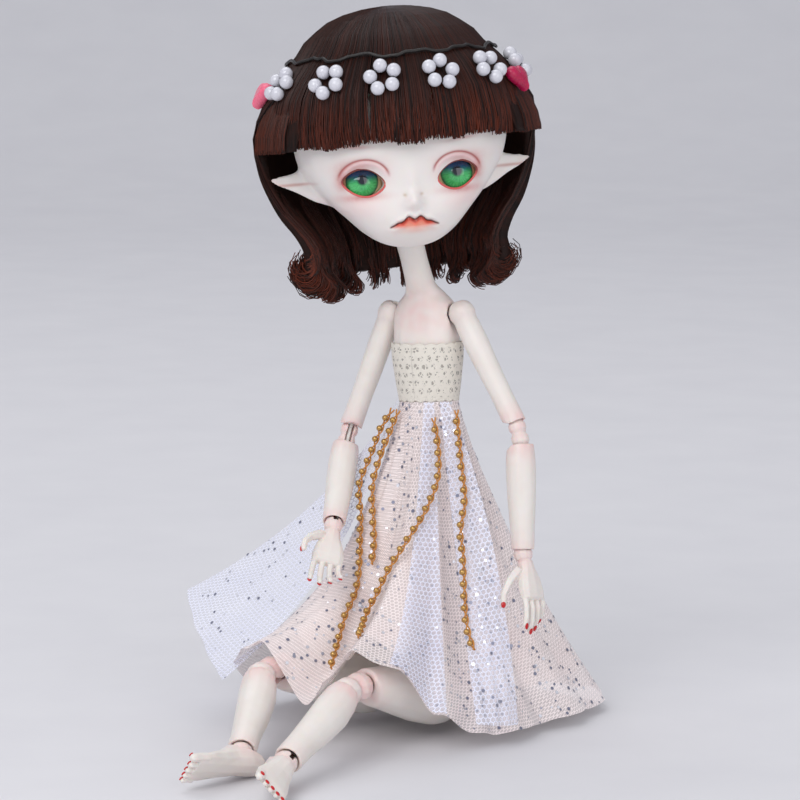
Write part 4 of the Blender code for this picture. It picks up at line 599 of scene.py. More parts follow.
def lineObject(name, paths, numbers):
    points, edges = [], []
    for path in paths:
        start = len(points)
        points += [tuple(p) for p in path]
        edges += [(start + k, start + k + 1) for k in range(len(path) - 1)]
    mesh = bpy.data.meshes.new(name)
    mesh.from_pydata(points, edges, [])
    made = bpy.data.objects.new(name, mesh)
    bpy.context.scene.collection.objects.link(made)
    for label, values in numbers.items():
        giveNumbers(made, label, values)
    return made


def tubePlant(name, look):
    plant = Plant(name, {"Thickness": "NodeSocketFloat", "Sides": "NodeSocketInt"})
    curve = plant.add("GeometryNodeMeshToCurve", None, {0: plant.given("Geometry")})
    wide = plant.add("GeometryNodeInputNamedAttribute", {"data_type": "FLOAT"}, {"Name": "wide"})
    curve = plant.add("GeometryNodeSetCurveRadius", None, {"Curve": curve, "Radius": wide})
    ring = plant.add("GeometryNodeCurvePrimitiveCircle", {"mode": "RADIUS"},
                     {"Resolution": plant.given("Sides"), "Radius": plant.given("Thickness")})
    tube = plant.add("GeometryNodeCurveToMesh", None,
                     {"Curve": curve, "Profile Curve": ring, "Fill Caps": True})
    return plant.end(tube, look)


# Strings of beads: listed points in the hips' frame, in millimetres, as the doll's own
strings = {
    "bead": 0.88, "spacing": 3.3, "thread": 0.24, "bulge": 0.5, "flat": 0.5, "diameter": 1.8 * mm,
    "steps": 6, "ahead": (0.5, -0.85, 0),
    "routes": {
        "bead_trim_1": ((-9.0, 0.0, 88.0), (-12.0, -1.5, 82.0), (-14.5, -2.5, 75.0), (-16.0, -6.0, 67.0),
                        (-14.0, -8.5, 59.0), (-12.0, -12.0, 52.0), (-10.0, -15.5, 46.0), (-9.0, -19.0, 39.5),
                        (-9.0, -24.5, 33.5), (-8.0, -29.5, 27.5), (-5.0, -38.0, 22.0)),
        "bead_trim_2": ((-6.5, -1.0, 88.0), (-9.0, -1.5, 81.5), (-11.0, -3.0, 75.0), (-12.0, -5.5, 67.0),
                        (-10.0, -8.5, 59.5), (-8.0, -11.0, 52.0), (-7.0, -14.0, 46.5)),
        "bead_trim_3": ((10.5, 2.0, 89.0), (13.5, -1.5, 81.5), (16.0, -4.0, 74.0), (18.5, -6.5, 66.0),
                        (19.0, -9.5, 58.0), (21.0, -11.5, 51.5), (22.5, -13.5, 45.5), (24.0, -15.5, 39.0),
                        (26.0, -17.5, 33.0), (29.0, -19.0, 27.5)),
        "bead_trim_4": ((5.5, -2.0, 87.0), (8.0, -3.5, 80.0), (9.5, -6.0, 71.0), (8.5, -11.0, 62.5),
                        (5.5, -16.0, 54.5), (1.5, -18.5, 47.0), (-0.5, -21.5, 40.5), (-1.0, -26.0, 35.5),
                        (1.5, -32.0, 33.0), (4.5, -39.0, 32.0)),
    },
}


def makeStrings():
    plant = Plant("bead_string", {"Bead radius": "NodeSocketFloat", "Thread radius": "NodeSocketFloat"})
    curve = plant.add("GeometryNodeMeshToCurve", None, {0: plant.given("Geometry")})
    ring = plant.add("GeometryNodeCurvePrimitiveCircle", {"mode": "RADIUS"},
                     {"Resolution": 6, "Radius": plant.given("Thread radius")})
    thread = plant.add("GeometryNodeCurveToMesh", None,
                       {"Curve": curve, "Profile Curve": ring, "Fill Caps": True})
    seat = plant.add("GeometryNodeInputNamedAttribute", {"data_type": "FLOAT"}, {"Name": "bead"})
    chosen = plant.add("FunctionNodeCompare", {"data_type": "FLOAT", "operation": "GREATER_THAN"},
                       {0: seat, 1: 0.5})
    seats = plant.add("GeometryNodeMeshToPoints", {"mode": "VERTICES"},
                      {"Mesh": plant.given("Geometry"), "Selection": chosen})
    ball = plant.add("GeometryNodeMeshUVSphere", None,
                     {"Segments": 12, "Rings": 8, "Radius": plant.given("Bead radius")})
    beads = plant.add("GeometryNodeInstanceOnPoints", None, {"Points": seats, "Instance": ball})
    thread = plant.add("GeometryNodeStoreNamedAttribute", {"data_type": "FLOAT", "domain": "POINT"},
                       {"Geometry": thread, "Name": "bead", "Value": 0.0})
    beads = plant.add("GeometryNodeRealizeInstances", None, {0: beads})
    beads = plant.add("GeometryNodeStoreNamedAttribute", {"data_type": "FLOAT", "domain": "POINT"},
                      {"Geometry": beads, "Name": "bead", "Value": 1.0})
    joined = plant.tree.nodes.new("GeometryNodeJoinGeometry")
    plant.tree.links.new(thread, joined.inputs[0])
    plant.tree.links.new(beads, joined.inputs[0])
    plant.end(joined.outputs[0], "gold")
    steps, swell = strings["steps"], strings["bulge"] * mm
    for name, points in strings["routes"].items():
        route = smoothRoute([hips @ (Vector(p) * mm) for p in points], strings["spacing"] / steps * mm)
        length = sum((b - a).length for a, b in zip(route, route[1:]))
        # two strands of yarn cross between the beads, which sit on each in turn
        paths, seats = [], []
        for strand in (0, 1):
            for k, place in enumerate(route):
                ahead = (route[min(k + 1, len(route) - 1)] - route[max(k - 1, 0)]).normalized()
                across = ahead.cross(Vector(strings["ahead"])).normalized()
                angle = math.pi * (k / steps + strand)
                offset = across * math.cos(angle) + ahead.cross(across) * math.sin(angle) * strings["flat"]
                if not k:
                    paths.append([])
                paths[-1].append(place + offset * swell)
                due = k % (2 * steps) == steps * strand and 3 < k < len(route) - 2
                seats.append(1.0 if due else 0.0)
        made = lineObject(name + "_beads", paths, {"bead": seats})
        plant.grow(made, {"Bead radius": strings["bead"] * mm, "Thread radius": strings["thread"] * mm})
        worn(made, "chest", "gold", name)


makeStrings()
print("bead strings ready")


# Head: the same curves as the doll's own head, drawn finely, in millimetres from its middle
headShape = {
    "equator": 13.0, "top": 29.5, "bottom": 31.8, "halfWidth": 30.0, "front": 28.2, "back": 29.0, "chin": 9.2,
    "topWidth": (1.0, 0.985, 0.93, 0.81, 0.61, 0.34, 0.03),
    "topFront": (1.0, 0.975, 0.90, 0.77, 0.58, 0.33, 0.03),
    "topBack": (1.0, 0.98, 0.92, 0.80, 0.60, 0.34, 0.03),
    "lowWidth": (1.0, 0.93, 0.765, 0.565, 0.40, 0.225, 0.03),
    "lowFront": (1.0, 0.905, 0.755, 0.62, 0.47, 0.25, 0.03),
    "lowBack": (1.0, 0.99, 0.90, 0.68, 0.43, 0.21, 0.03),
    "facePower": 2.5, "grid": 0.48, "wall": 3.4, "frontWall": 10.5, "least": 0.85, "hollowAhead": 2.04,
    "seam": (0, -6.0, 13.0), "seamSlope": 42, "far": 90, "sharp": 42,
    "neck": {"size": 4.5, "setback": 3.5, "base": -13.5, "steps": ((-4.0, 3.3), (0.1, 1.06), (0.15, 0.75), (3.0, 0.75))},
    "relief": ((0.0, -0.193, 0.077, 0.080, 0.100), (0.0, -0.033, 0.070, 0.133, 0.033),
               (0.0, -0.233, 0.133, 0.047, 0.027), (0.0, -0.350, 0.207, 0.087, 0.037),
               (0.0, -0.453, 0.133, 0.053, 0.030), (0.0, -0.393, 0.193, 0.023, -0.020),
               (0.437, -0.007, 0.213, 0.153, -0.087), (0.417, 0.260, 0.267, 0.093, 0.027),
               (0.467, -0.267, 0.200, 0.150, 0.030)),
}


def headExtents(level):
    share, shape = abs(level) / 90, headShape
    if level >= 0:
        tables, reach, centre = ("topWidth", "topFront", "topBack"), shape["top"], 0.0
    else:
        tables, reach = ("lowWidth", "lowFront", "lowBack"), shape["bottom"]
        centre = -shape["chin"] * math.sin(math.radians(-level)) ** 1.6
    width, front, back = (smoothValue(shape[name], share) for name in tables)
    height = shape["equator"] + reach * math.sin(math.radians(level))
    return shape["halfWidth"] * width, shape["front"] * front, shape["back"] * back, centre, height


def headSurface(around, level):
    halfWidth, front, back, centre, height = headExtents(level)
    angle, face = math.radians(around), abs(around) < 90
    power = headShape["facePower"] if face else 2.0
    across = math.copysign(abs(math.sin(angle)) ** (2 / power), math.sin(angle))
    ahead = math.copysign(abs(math.cos(angle)) ** (2 / power), math.cos(angle))
    point = Vector((halfWidth * across, centre - (front if face else back) * ahead, height))
    if face:
        size = headShape["halfWidth"]
        x, z = point.x / size, point.z / size
        for middle, up, halfX, halfZ, rise in headShape["relief"]:
            fall = math.exp(-((abs(x) - middle) / halfX) ** 2 - ((z - up) / halfZ) ** 2)
            point.y -= size * rise * fall * ahead ** 0.25
    return point


def mouthTop(wide):
    peaks = sum(rise * math.exp(-((wide - middle) / half) ** 2) for middle, half, rise in mouth["peaks"])
    return mouth["height"] + peaks - min(wide / mouth["half"], 1.4) ** mouth["power"] * mouth["droop"]


def between(value, low, high):
    return min(max((value - low) / (high - low), 0.0), 1.0)


def bell(value, middle, size):
    return math.exp(-((value - middle) / size) ** 2)


def faceDetail(wide, z):
    (ovalX, ovalZ), (halfX, halfZ) = lidOval["middle"], lidOval["half"]
    ring = math.hypot((wide - ovalX) / halfX, (z - ovalZ) / halfZ)
    rise = (0.42 * bell(ring, 0.84, 0.12) - 0.38 * bell(ring, 1.0, 0.07)) * between(z, 0.6, 3.2)
    rise += 0.22 * bell(ring, 0.86, 0.10) * between(-z, 0.5, 2.5)
    rise -= 0.30 * bell(wide, 2.3, 0.6) * bell(z, -4.2, 0.5)
    if wide < 8.5 and -15 < z < -8.5:
        top = mouthTop(wide)
        lips = 0.45 * bell(z, top + 0.85, 0.55) + 0.60 * bell(z, top - 1.35, 0.85)
        rise += (lips - 0.50 * bell(z, top, 0.35)) * (1 - between(wide, 5.6, 7.2))
    return rise


def toWorld(frameMatrix, points):
    return [frameMatrix @ (Vector(p) * mm) for p in points]


def cutterPiece(name, points, faces):
    made = addPiece(name, points, faces, "resin")
    outward(made)
    return made


def cutWith(target, tools):
    group = bpy.data.collections.new("cutters")
    for tool in tools:
        group.objects.link(tool)
    modifier = target.modifiers.new("cut", "BOOLEAN")
    modifier.operation, modifier.solver = "DIFFERENCE", "MANIFOLD"
    modifier.operand_type, modifier.collection = "COLLECTION", group
    baked(target)
    for tool in tools:
        bpy.data.objects.remove(tool, do_unlink=True)
    bpy.data.collections.remove(group)


eyes = {"span": 12.7, "radius": 6.8, "setback": 13.1, "halfWidth": 5.3, "halfHeight": 3.6, "gap": 0.3,
        "round": 0.30, "slant": 0.16, "swell": 0.22, "swellWithin": 38, "inward": 0.2, "up": 0.3,
        "way": ((2.4, 1.0), (17.7, 1.12)), "rimGrow": 1.06, "rim": 0.30, "rimWide": (0.75, 1.25)}
ears = {"reach": 36.8, "base": 19.5, "halfHeight": 6.6, "halfDepth": 2.6, "setback": 0.7, "tip": 0.985,
        "tall": (1.0, 0.86, 0.58, 0.30, 0.03), "deep": (1.0, 0.9, 0.7, 0.42, 0.06),
        "back": (0.0, 0.05, 0.14, 0.26, 0.36), "up": (0.0, 0.05, 0.14, 0.24, 0.36)}


def eyeOutline(sign, count, grow=1.0):
    outline = []
    for k in range(count):
        across, up = math.cos(math.tau * k / count), math.sin(math.tau * k / count)
        height = eyes["halfHeight"] * (up * (1 - eyes["round"] * across ** 2) + eyes["slant"] * across)
        outline.append((sign * eyes["halfWidth"] * across * grow, height * grow))
    return outline


def earShape(sign):
    rows, count = 15, 28
    points = []
    for k in range(rows):
        share = k / (rows - 1)
        tall, deep, back, up = (smoothValue(ears[name], share) for name in ("tall", "deep", "back", "up"))
        for i in range(count):
            angle = math.tau * i / count
            y = ears["halfDepth"] * deep * math.sin(angle)
            if y < 0:
                y *= 0.25 + 0.75 * abs(math.cos(angle)) ** 1.2
            points.append((sign * (ears["base"] + (ears["reach"] - ears["base"]) * share * ears["tip"]),
                           y + ears["halfHeight"] * back + ears["setback"],
                           ears["halfHeight"] * (tall * math.cos(angle) + up)))
    return toWorld(head, points), ringFaces(rows, count)


def headForm():
    around, rows = 144, 96
    steps = [180 * math.copysign(abs(2 * i / around - 1) ** 1.3, 2 * i / around - 1) for i in range(around)]
    points = []
    for k in range(rows):
        points += [headSurface(angle, -87 + 174 * k / (rows - 1)) for angle in steps]
    points, faces = toWorld(head, points), ringFaces(rows, around)
    for sign in sides.values():
        earPoints, earFaces = earShape(sign)
        faces += [tuple(len(points) + v for v in corners) for corners in earFaces]
        points += earPoints
    face = addPiece("face_skin", points, faces, "face")
    outward(face)
    grid = face.modifiers.new("grid", "REMESH")
    grid.mode, grid.voxel_size = "VOXEL", headShape["grid"] * mm
    baked(face)
    return face


def smoothedHead(face):
    # the ears' roots flow into the cheeks
    nearEar = face.vertex_groups.new(name="near_ear")
    for vertex in face.data.vertices:
        place = (head.inverted() @ vertex.co) / mm
        reach = abs(place.x)
        share = between(reach, 19.0, 22.0) * (1 - between(reach, 29.5, 33.5)) * between(place.z, -16.0, -13.0)
        nearEar.add([vertex.index], share if place.z < 14 else 0.0, "REPLACE")
    evenly = face.modifiers.new("even", "SMOOTH")
    evenly.factor, evenly.iterations = 0.5, 5
    ease = face.modifiers.new("ease", "SMOOTH")
    ease.factor, ease.iterations, ease.vertex_group = 0.5, 55, "near_ear"
    baked(face)
    inverse = head.inverted()
    normals = [inverse.to_3x3() @ vertex.normal for vertex in face.data.vertices]
    for vertex, normal in zip(face.data.vertices, normals):
        place = (inverse @ vertex.co) / mm
        if normal.y < 0 and place.y < -8:
            place.y -= faceDetail(abs(place.x), place.z) * min(1.0, -normal.y * 1.3)
            vertex.co = head @ (place * mm)


def headCutters():
    tools, shape, hollow, rows, around = [], headShape, [], 25, 48
    wall, middle = shape["wall"], shape["equator"]
    for k in range(rows):
        halfWidth, front, back, centre, height = headExtents(-80 + 164 * k / (rows - 1))
        for i in range(around):
            angle = math.tau * i / around
            ahead = math.cos(angle)
            reach = max((front - shape["frontWall"]) if ahead > 0 else (back - wall), shape["least"])
            hollow.append((max(halfWidth - wall, shape["least"]) * math.sin(angle),
                           centre - reach * ahead + shape["hollowAhead"] * max(0.0, ahead),
                           middle + (height - middle) * (1 - wall / shape["top"])))
    tools.append(cutterPiece("head_inside", toWorld(head, hollow), ringFaces(rows, around)))
    for sign in sides.values():
        walls = [(sign * eyes["span"] + x * far, -eyes["setback"] - depth, z * far)
                 for depth, far in eyes["way"] for x, z in eyeOutline(sign, 64)]
        tools.append(cutterPiece("eye_way", toWorld(head, walls), ringFaces(2, 64)))
        centre = Vector((sign * eyes["span"], -eyes["setback"], 0))
        ball = [centre + out * (eyes["radius"] + eyes["gap"]) for out in ballPoints(24, 40)]
        tools.append(cutterPiece("eye_well", toWorld(head, ball), ringFaces(23, 40)))
    # behind the seam only the cap's own node shows
    seam = Matrix.Translation(shape["seam"]) @ Matrix.Rotation(math.radians(shape["seamSlope"]), 4, "X")
    far = shape["far"]
    square = ((-far, 0), (far, 0), (far, far), (-far, far))
    corners = [seam @ Vector((x, y, z)) for z in (-far, far) for x, y in square]
    tools.append(cutterPiece("behind_seam", toWorld(head, corners), ringFaces(2, 4)))
    neck, neckHole = shape["neck"], []
    for up, wide in neck["steps"]:
        for i in range(32):
            angle = math.tau * i / 32 + 0.1
            neckHole.append((neck["size"] * wide * math.cos(angle),
                             neck["setback"] + neck["size"] * wide * math.sin(angle),
                             neck["base"] + neck["size"] * up))
    tools.append(cutterPiece("neck_way", toWorld(head, neckHole), ringFaces(4, 32)))
    return tools


def makeHead():
    face = headForm()
    smoothedHead(face)
    cutWith(face, headCutters())
    face.data.materials.clear()
    face.data.materials.append(looks["face"])
    face.data.shade_smooth()
    face.data.set_sharp_from_angle(angle=math.radians(headShape["sharp"]))
    inverse = head.inverted()
    givePlaces(face, "place", [(inverse @ v.co) / mm for v in face.data.vertices])
    worn(face, "head", "resin_face", "head_face")
    return face


face = makeHead()
print("face ready", len(face.data.polygons))


def makeEyes():
    inverse, rows, around = head.inverted(), 48, 64
    # the painted rim of the lids follows the edge of the opening
    skinTree = BVHTree.FromPolygons([(inverse @ v.co) / mm for v in face.data.vertices],
                                    [tuple(p.vertices) for p in face.data.polygons])
    for side, sign in sides.items():
        centre, points = Vector((sign * eyes["span"], -eyes["setback"], 0)), []
        for ball in ballPoints(rows, around):
            # the front swells a little, as a cornea does
            level = math.degrees(math.acos(ball.z)) / eyes["swellWithin"]
            swell = eyes["swell"] * max(0.0, 1 - level ** 2)
            points.append(centre + Vector((ball.x, -ball.z, ball.y)) * (eyes["radius"] + swell))
        made = addPiece("eye_ball_" + side, toWorld(head, points), ringFaces(rows - 1, around), "eye")
        outward(made)
        middle = centre + Vector((sign * eyes["inward"], 0, eyes["up"]))
        givePlaces(made, "place", [(inverse @ v.co) / mm - middle for v in made.data.vertices])
        worn(made, "head", "eye_glass", "eye_" + side)
        path = []
        for x, z in eyeOutline(sign, 48, eyes["rimGrow"]):
            hit = skinTree.ray_cast(Vector((centre.x + x, -60, z)), Vector((0, 1, 0)))
            path.append((centre.x + x, (hit[0].y if hit[0] else centre.y) + 0.05, z))
        path = toWorld(head, path + path[:1])
        thin, thick = eyes["rimWide"]
        wide = [(thick if k in range(2, 24) else thin) for k in range(len(path))]
        rim = lineObject("lid_rim_" + side, [path], {"wide": wide})
        tubePlant("lid_rim", "lids").grow(rim, {"Thickness": eyes["rim"] * mm, "Sides": 8})
        givePlaces(rim, "place", [(inverse @ v.co) / mm for v in rim.data.vertices])
        worn(rim, "head", "resin_face")


makeEyes()
print("eyes ready")


# Hair, in millimetres from the middle of the head; around is 0 at the face and 90 at the doll's left
wig = {
    "top": 46.9, "bottom": -30.0, "halfWidth": 40.0, "front": 36.0, "back": 36.8, "setback": 1.5, "rim": 9.2,
    "fringeTop": 23.8, "fringeBottom": 10.4, "fringeAround": 50.0, "fringeInset": 2.6,
    "width": (0.60, 0.732, 0.725, 0.783, 0.875, 0.938, 0.983, 1.0, 0.99, 0.94, 0.865, 0.758, 0.625, 0.49, 0.04),
    "depth": (0.86, 0.88, 0.90, 0.93, 0.96, 0.98, 1.0, 1.0, 0.99, 0.965, 0.925, 0.855, 0.745, 0.55, 0.04),
    "strand": 0.14, "seed": 7, "fringeHalf": 68.0, "behindEar": 104.0, "sweepTop": 30.0, "sweepEnd": 9.0,
    "templeEnd": 10.6,
}


def hairSurface(around, height, inset=0.0):
    share = (height - wig["bottom"]) / (wig["top"] - wig["bottom"])
    turn = math.remainder(around, 360.0)
    width, depth = smoothValue(wig["width"], share), smoothValue(wig["depth"], share)
    crown = (share * 14 - 13)
    if crown > 0:
        dome = math.sqrt(max(0.0, 1 - crown * (0.55 + 0.45 * crown)))
        width, depth = wig["width"][-2] * dome, wig["depth"][-2] * dome
    halfWidth = max(wig["halfWidth"] * width - inset, 0.05)
    depth = max((wig["front"] if abs(turn) < 90 else wig["back"]) * depth - inset, 0.05)
    angle = math.radians(turn)
    return Vector((halfWidth * math.sin(angle), wig["setback"] - depth * math.cos(angle), height))


def rimHeight(around):
    return wig["fringeTop"] if abs(math.remainder(around, 360.0)) <= wig["fringeAround"] else wig["rim"] + 0.8


def makeHairBase3d():
    columns, rows = 120, 40
    points, flat = [], []
    for k in range(rows):
        rise = math.sin(math.radians(89 * k / (rows - 1)))
        for i in range(columns):
            around = 360 * i / columns
            low = rimHeight(around)
            points.append(hairSurface(around, low + (wig["top"] - 0.9 - low) * rise, 1.0))
            flat.append((i / columns, k / rows))
    faces = ringFaces(rows, columns, True, False) + [tuple(range((rows - 1) * columns, rows * columns))]
    made = addPiece("hair_cap", toWorld(head, points), faces, "hairCap")
    outward(made)
    giveFlat(made, flat)
    solid = made.modifiers.new("wall", "SOLIDIFY")
    solid.thickness, solid.offset = 0.6 * mm, -1
    baked(made)
    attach(made, "head")
    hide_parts("wig_crown")
    points, flat, count, rows = [], [], 60, 24
    for k in range(rows):
        for i in range(count):
            around = 104 + (360 - 208) * i / (count - 1)
            height = 10.5 + (wig["bottom"] + 4 - 10.5) * k / (rows - 1)
            points.append(hairSurface(around, height, 1.2 + 0.8 * math.sin(around * 0.35) * k / rows))
            flat.append((i / count, k / rows))
    made = addPiece("hair_hang", toWorld(head, points), ringFaces(rows, count, False, False), "hairCap")
    giveFlat(made, flat)
    solid = made.modifiers.new("wall", "SOLIDIFY")
    solid.thickness, solid.offset = 3.0 * mm, 0
    baked(made)
    outward(made)
    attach(made, "head")


def strandPath(around, dice, temple=False):
    # around 0 is over the nose; strands past the fringe sweep behind the ears
    turn = math.remainder(around, 360.0)
    side = math.copysign(1, turn)
    lock = math.floor(turn / 5.5)
    lockDice = random.Random(wig["seed"] * 1000 + lock)
    lean, sway, phase = lockDice.uniform(-0.8, 0.8), lockDice.uniform(0.6, 1.8), lockDice.uniform(0, 6)
    depth = dice.uniform(-0.5, 1.2)
    fringe = abs(turn) <= wig["fringeHalf"] + dice.uniform(-3, 3)
    behind = side * max(0.0, wig["behindEar"] + lockDice.uniform(0, 12) * dice.random() - abs(turn))
    path = []

    def sweep(height):
        share = min(max((wig["sweepTop"] - height) / (wig["sweepTop"] - wig["sweepEnd"]), 0.0), 1.0)
        return turn + behind * (share * share * (3 - 2 * share)) if not fringe else turn

    if temple:
        # short hair over each ear, under what sweeps back
        end = wig["templeEnd"] + dice.uniform(-1.0, 0.6)
        for k in range(15):
            share = k / 14
            height = end + (wig["top"] - end) * math.sin(math.radians(88.5 * (1 - share)))
            path.append(hairSurface(turn + lean * share ** 2, height, 0.62 + 0.2 * depth))
        return path
    if fringe:
        end = wig["fringeBottom"] + dice.uniform(-0.9, 1.3) + lockDice.uniform(-0.5, 0.9)
    else:
        end = wig["bottom"] + 6 + dice.uniform(-2.5, 3.0) + 3.5 * math.sin(lock * 1.7)
    rim = wig["fringeTop"] if fringe else wig["rim"]
    for k in range(13):
        rise = math.sin(math.radians(88.5 - 88.5 * k / 12))
        height = rim + (wig["top"] - rim) * rise
        path.append(hairSurface(sweep(height) + lean * (k / 12) ** 2, height, depth * 0.6 * min(1.0, k / 4)))
    if fringe:
        bend = dice.uniform(-1.6, 1.6) + lean * 0.3
        for k in range(1, 7):
            share = k / 6
            path.append(hairSurface(turn + lean + bend * share ** 2, rim + (end - rim) * share,
                                    wig["fringeInset"] * share + depth * 0.5))
        return path
    start = sweep(rim)
    for k in range(1, 9):
        share = k / 8
        around = start + (sweep(rim + (end - rim) * share) - start) + sway * math.sin(phase + share * 3.2) * share
        inset = depth + 1.3 * share + (2.2 * share if abs(start) < 150 else 1.0 * share)
        path.append(hairSurface(around + lean, rim + (end - rim) * share, inset))
    out = Vector((math.sin(math.radians(start)), -math.cos(math.radians(start)), 0))
    curl = (lockDice.uniform(60, 230) if abs(start) < 155 else lockDice.uniform(20, 110)) * dice.uniform(0.6, 1.2)
    radius = lockDice.uniform(1.7, 3.6) * dice.uniform(0.8, 1.25)
    last = path[-1]
    for k in range(1, 7):
        angle = math.radians(curl * k / 6)
        path.append(last + out * radius * (1 - math.cos(angle)) - Vector((0, 0, radius * math.sin(angle))))
    return path


def makeStrands():
    zones = {
        "hair_front_right": (-72, 0, 1300, "wig_fringe"), "hair_front_left": (0, 72, 1300, None),
        "hair_left": (58, 110, 1150, "wig_side_left"), "hair_left_low": (110, 150, 800, None),
        "hair_right": (-110, -58, 1150, "wig_side_right"), "hair_right_low": (-150, -110, 800, None),
        "hair_back": (150, 210, 1000, "wig_back"),
        "hair_temple_left": (56, 118, 700, None), "hair_temple_right": (-118, -56, 700, None),
    }
    plant = tubePlant("hair_strand", "hair")
    for name, (first, last, count, node) in zones.items():
        dice = random.Random(wig["seed"] + count + int(first))
        paths, tone, along, wide = [], [], [], []
        for k in range(count):
            around = first + (last - first) * (k + dice.random()) / count
            path = toWorld(head, strandPath(around, dice, "temple" in name))
            paths.append(path)
            shade = min(max(dice.gauss(0.32, 0.24), 0.0), 1.0)
            for i in range(len(path)):
                share = i / (len(path) - 1)
                tone.append(shade)
                along.append(share)
                wide.append(0.45 + 0.75 * math.sin(math.pi * min(share * 1.1 + 0.08, 1.0)) * 0.9 - 0.25 * share)
        made = lineObject(name, paths, {"tone": tone, "along": along, "wide": [max(w, 0.25) for w in wide]})
        plant.grow(made, {"Thickness": wig["strand"] * mm, "Sides": 3})
        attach(made, "head")
        if node:
            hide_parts(node)


makeHairBase3d()
makeStrands()
print("hair ready")


# The wreath: pearls on black thread, a wire over the hair, and two hearts
wreath = {
    "height": 27.0, "around": (-67, -36, -10, 16, 43, 77), "ring": 3.4, "pearl": 1.9, "wireHeight": 33.2,
    "wire": 0.45, "hearts": {"left": (60.0, 23.6, "heartDark"), "right": (-85.0, 25.0, "heartLight")},
    "heartHalf": 4.4, "heartThick": 3.4, "turns": (12, -20, 30, 5, 48, 20),
}


def hairSeat(around, height, standOff):
    here = hairSurface(around, height)
    up = (hairSurface(around, height + 0.45) - hairSurface(around, height - 0.45)).normalized()
    right = (hairSurface(around + 1, height) - hairSurface(around - 1, height)).normalized()
    out = right.cross(up).normalized()
    out = -out if out.dot(here) < 0 else out
    return here + out * standOff, right, up, out


def makeWreath():
    plant = Plant("pearl_flower", {"Pearl radius": "NodeSocketFloat"})
    ball = plant.add("GeometryNodeMeshUVSphere", None,
                     {"Segments": 24, "Rings": 16, "Radius": plant.given("Pearl radius")})
    seats = plant.add("GeometryNodeMeshToPoints", {"mode": "VERTICES"}, {"Mesh": plant.given("Geometry")})
    pearls = plant.add("GeometryNodeInstanceOnPoints", None, {"Points": seats, "Instance": ball})
    plant.end(pearls, "pearl")
    threads = []
    for index, around in enumerate(wreath["around"]):
        place, right, up, out = hairSeat(around, wreath["height"], wreath["pearl"] + 0.3)
        spokes = []
        for k in range(5):
            angle = math.tau * (k / 5) + math.radians(wreath["turns"][index])
            spokes.append(place + (right * math.cos(angle) + up * math.sin(angle)) * wreath["ring"])
        spokes = toWorld(head, spokes)
        made = lineObject("pearl_bloom_%d" % (index + 1), [spokes], {})
        plant.grow(made, {"Pearl radius": wreath["pearl"] * mm})
        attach(made, "head")
        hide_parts("pearl_flower_%d" % (index + 1))
        threads.append([spokes[k % 5].lerp(spokes[(k + 1) % 5], part) for k in range(5) for part in (0, 0.35, 0.5, 0.65)]
                       + [spokes[0]])
    dice = random.Random(3)
    route = []
    for around in range(-178, 180, 4):
        stray = 0.5 * math.sin(around * 0.21) + dice.uniform(-0.35, 0.35)
        route.append(hairSeat(around, wreath["wireHeight"] + stray, wreath["wire"] + 0.45 + 0.2 * dice.random())[0])
    route = smoothRoute(toWorld(head, route + route[:1]), 0.9 * mm)
    paths = threads + [route]
    wide = [0.75 for path in threads for _ in path] + [1.0 for _ in route]
    made = lineObject("wreath_wire", paths, {"wide": wide})
    tubePlant("wreath_wire", "wire").grow(made, {"Thickness": wreath["wire"] * mm, "Sides": 8})
    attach(made, "head")
    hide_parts("headband_wire")
    for side, (around, height, look) in wreath["hearts"].items():
        place, right, up, out = hairSeat(around, height, wreath["heartThick"] / 2 + 0.3)
        points, count = [], 56
        for level, grow in ((-0.5, 0.62), (-0.42, 0.82), (-0.25, 0.97), (0.0, 1.0), (0.25, 0.97), (0.42, 0.82), (0.5, 0.62)):
            for k in range(count):
                t = math.tau * (k + 0.5) / count
                x = math.sin(t) ** 3
                y = (13 * math.cos(t) - 5 * math.cos(2 * t) - 2 * math.cos(3 * t) - math.cos(4 * t)) / 16 * 0.95
                points.append(place + (right * x + up * y) * wreath["heartHalf"] * grow + out * wreath["heartThick"] * level)
        made = addPiece("heart_" + side, toWorld(head, points), ringFaces(7, count), look)
        outward(made)
        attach(made, "head")
        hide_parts("pink_heart_" + side)


makeWreath()
print("wreath ready")


# Resin pieces: each follows its own solid, with facets and rims softened
limbs = {
    "torso_lower": (0.50, 30, (("hip_flex", 9.5), ("waist_bend", 7.0))),
    "torso_upper": (0.34, 60, (("shoulder_lift", 5.0), ("waist_bend", 7.0), ("neck_turn", 5.5))),
    "thigh": (0.36, 60, (("hip_flex", 8.6), ("knee_high", 5.5))), "knee_ball": (0.22, 8, ()),
    "shin": (0.30, 60, (("knee_low", 5.5), ("ankle_bend", 4.5))), "foot": (0.17, 6, ()),
    "upper_arm": (0.22, 70, (("elbow_high", 3.8), ("shoulder_lift", 3.0))), "elbow_ball": (0.17, 7, ()),
    "forearm": (0.24, 60, (("elbow_low", 3.8), ("wrist_bend", 3.6))), "hand": (0.13, 8, ()),
}
jointPlaces = {joint["name"]: Vector(joint["pos_m"]) for joint in frame["joints"]}
nodeBody = {node: body for body, nodes in frame["record"]["behaviour"]["bodies"].items() for node in nodes}
blushAt = {
    "upper_arm": (("shoulder_lift", 3.4, 0.35), ("elbow_high", 5.0, 0.8)), "elbow_ball": (("elbow_high", 4.5, 0.6),),
    "forearm": (("elbow_low", 5.5, 0.9), ("wrist_bend", 4.2, 0.65)), "hand": (("wrist_bend", 4.8, 0.5),),
    "thigh": (("knee_high", 6.5, 0.7),), "knee_ball": (("knee_high", 6.5, 0.8),),
    "shin": (("knee_low", 6.8, 0.95), ("ankle_bend", 4.6, 0.4)), "foot": (("ankle_bend", 5.5, 0.5),),
}


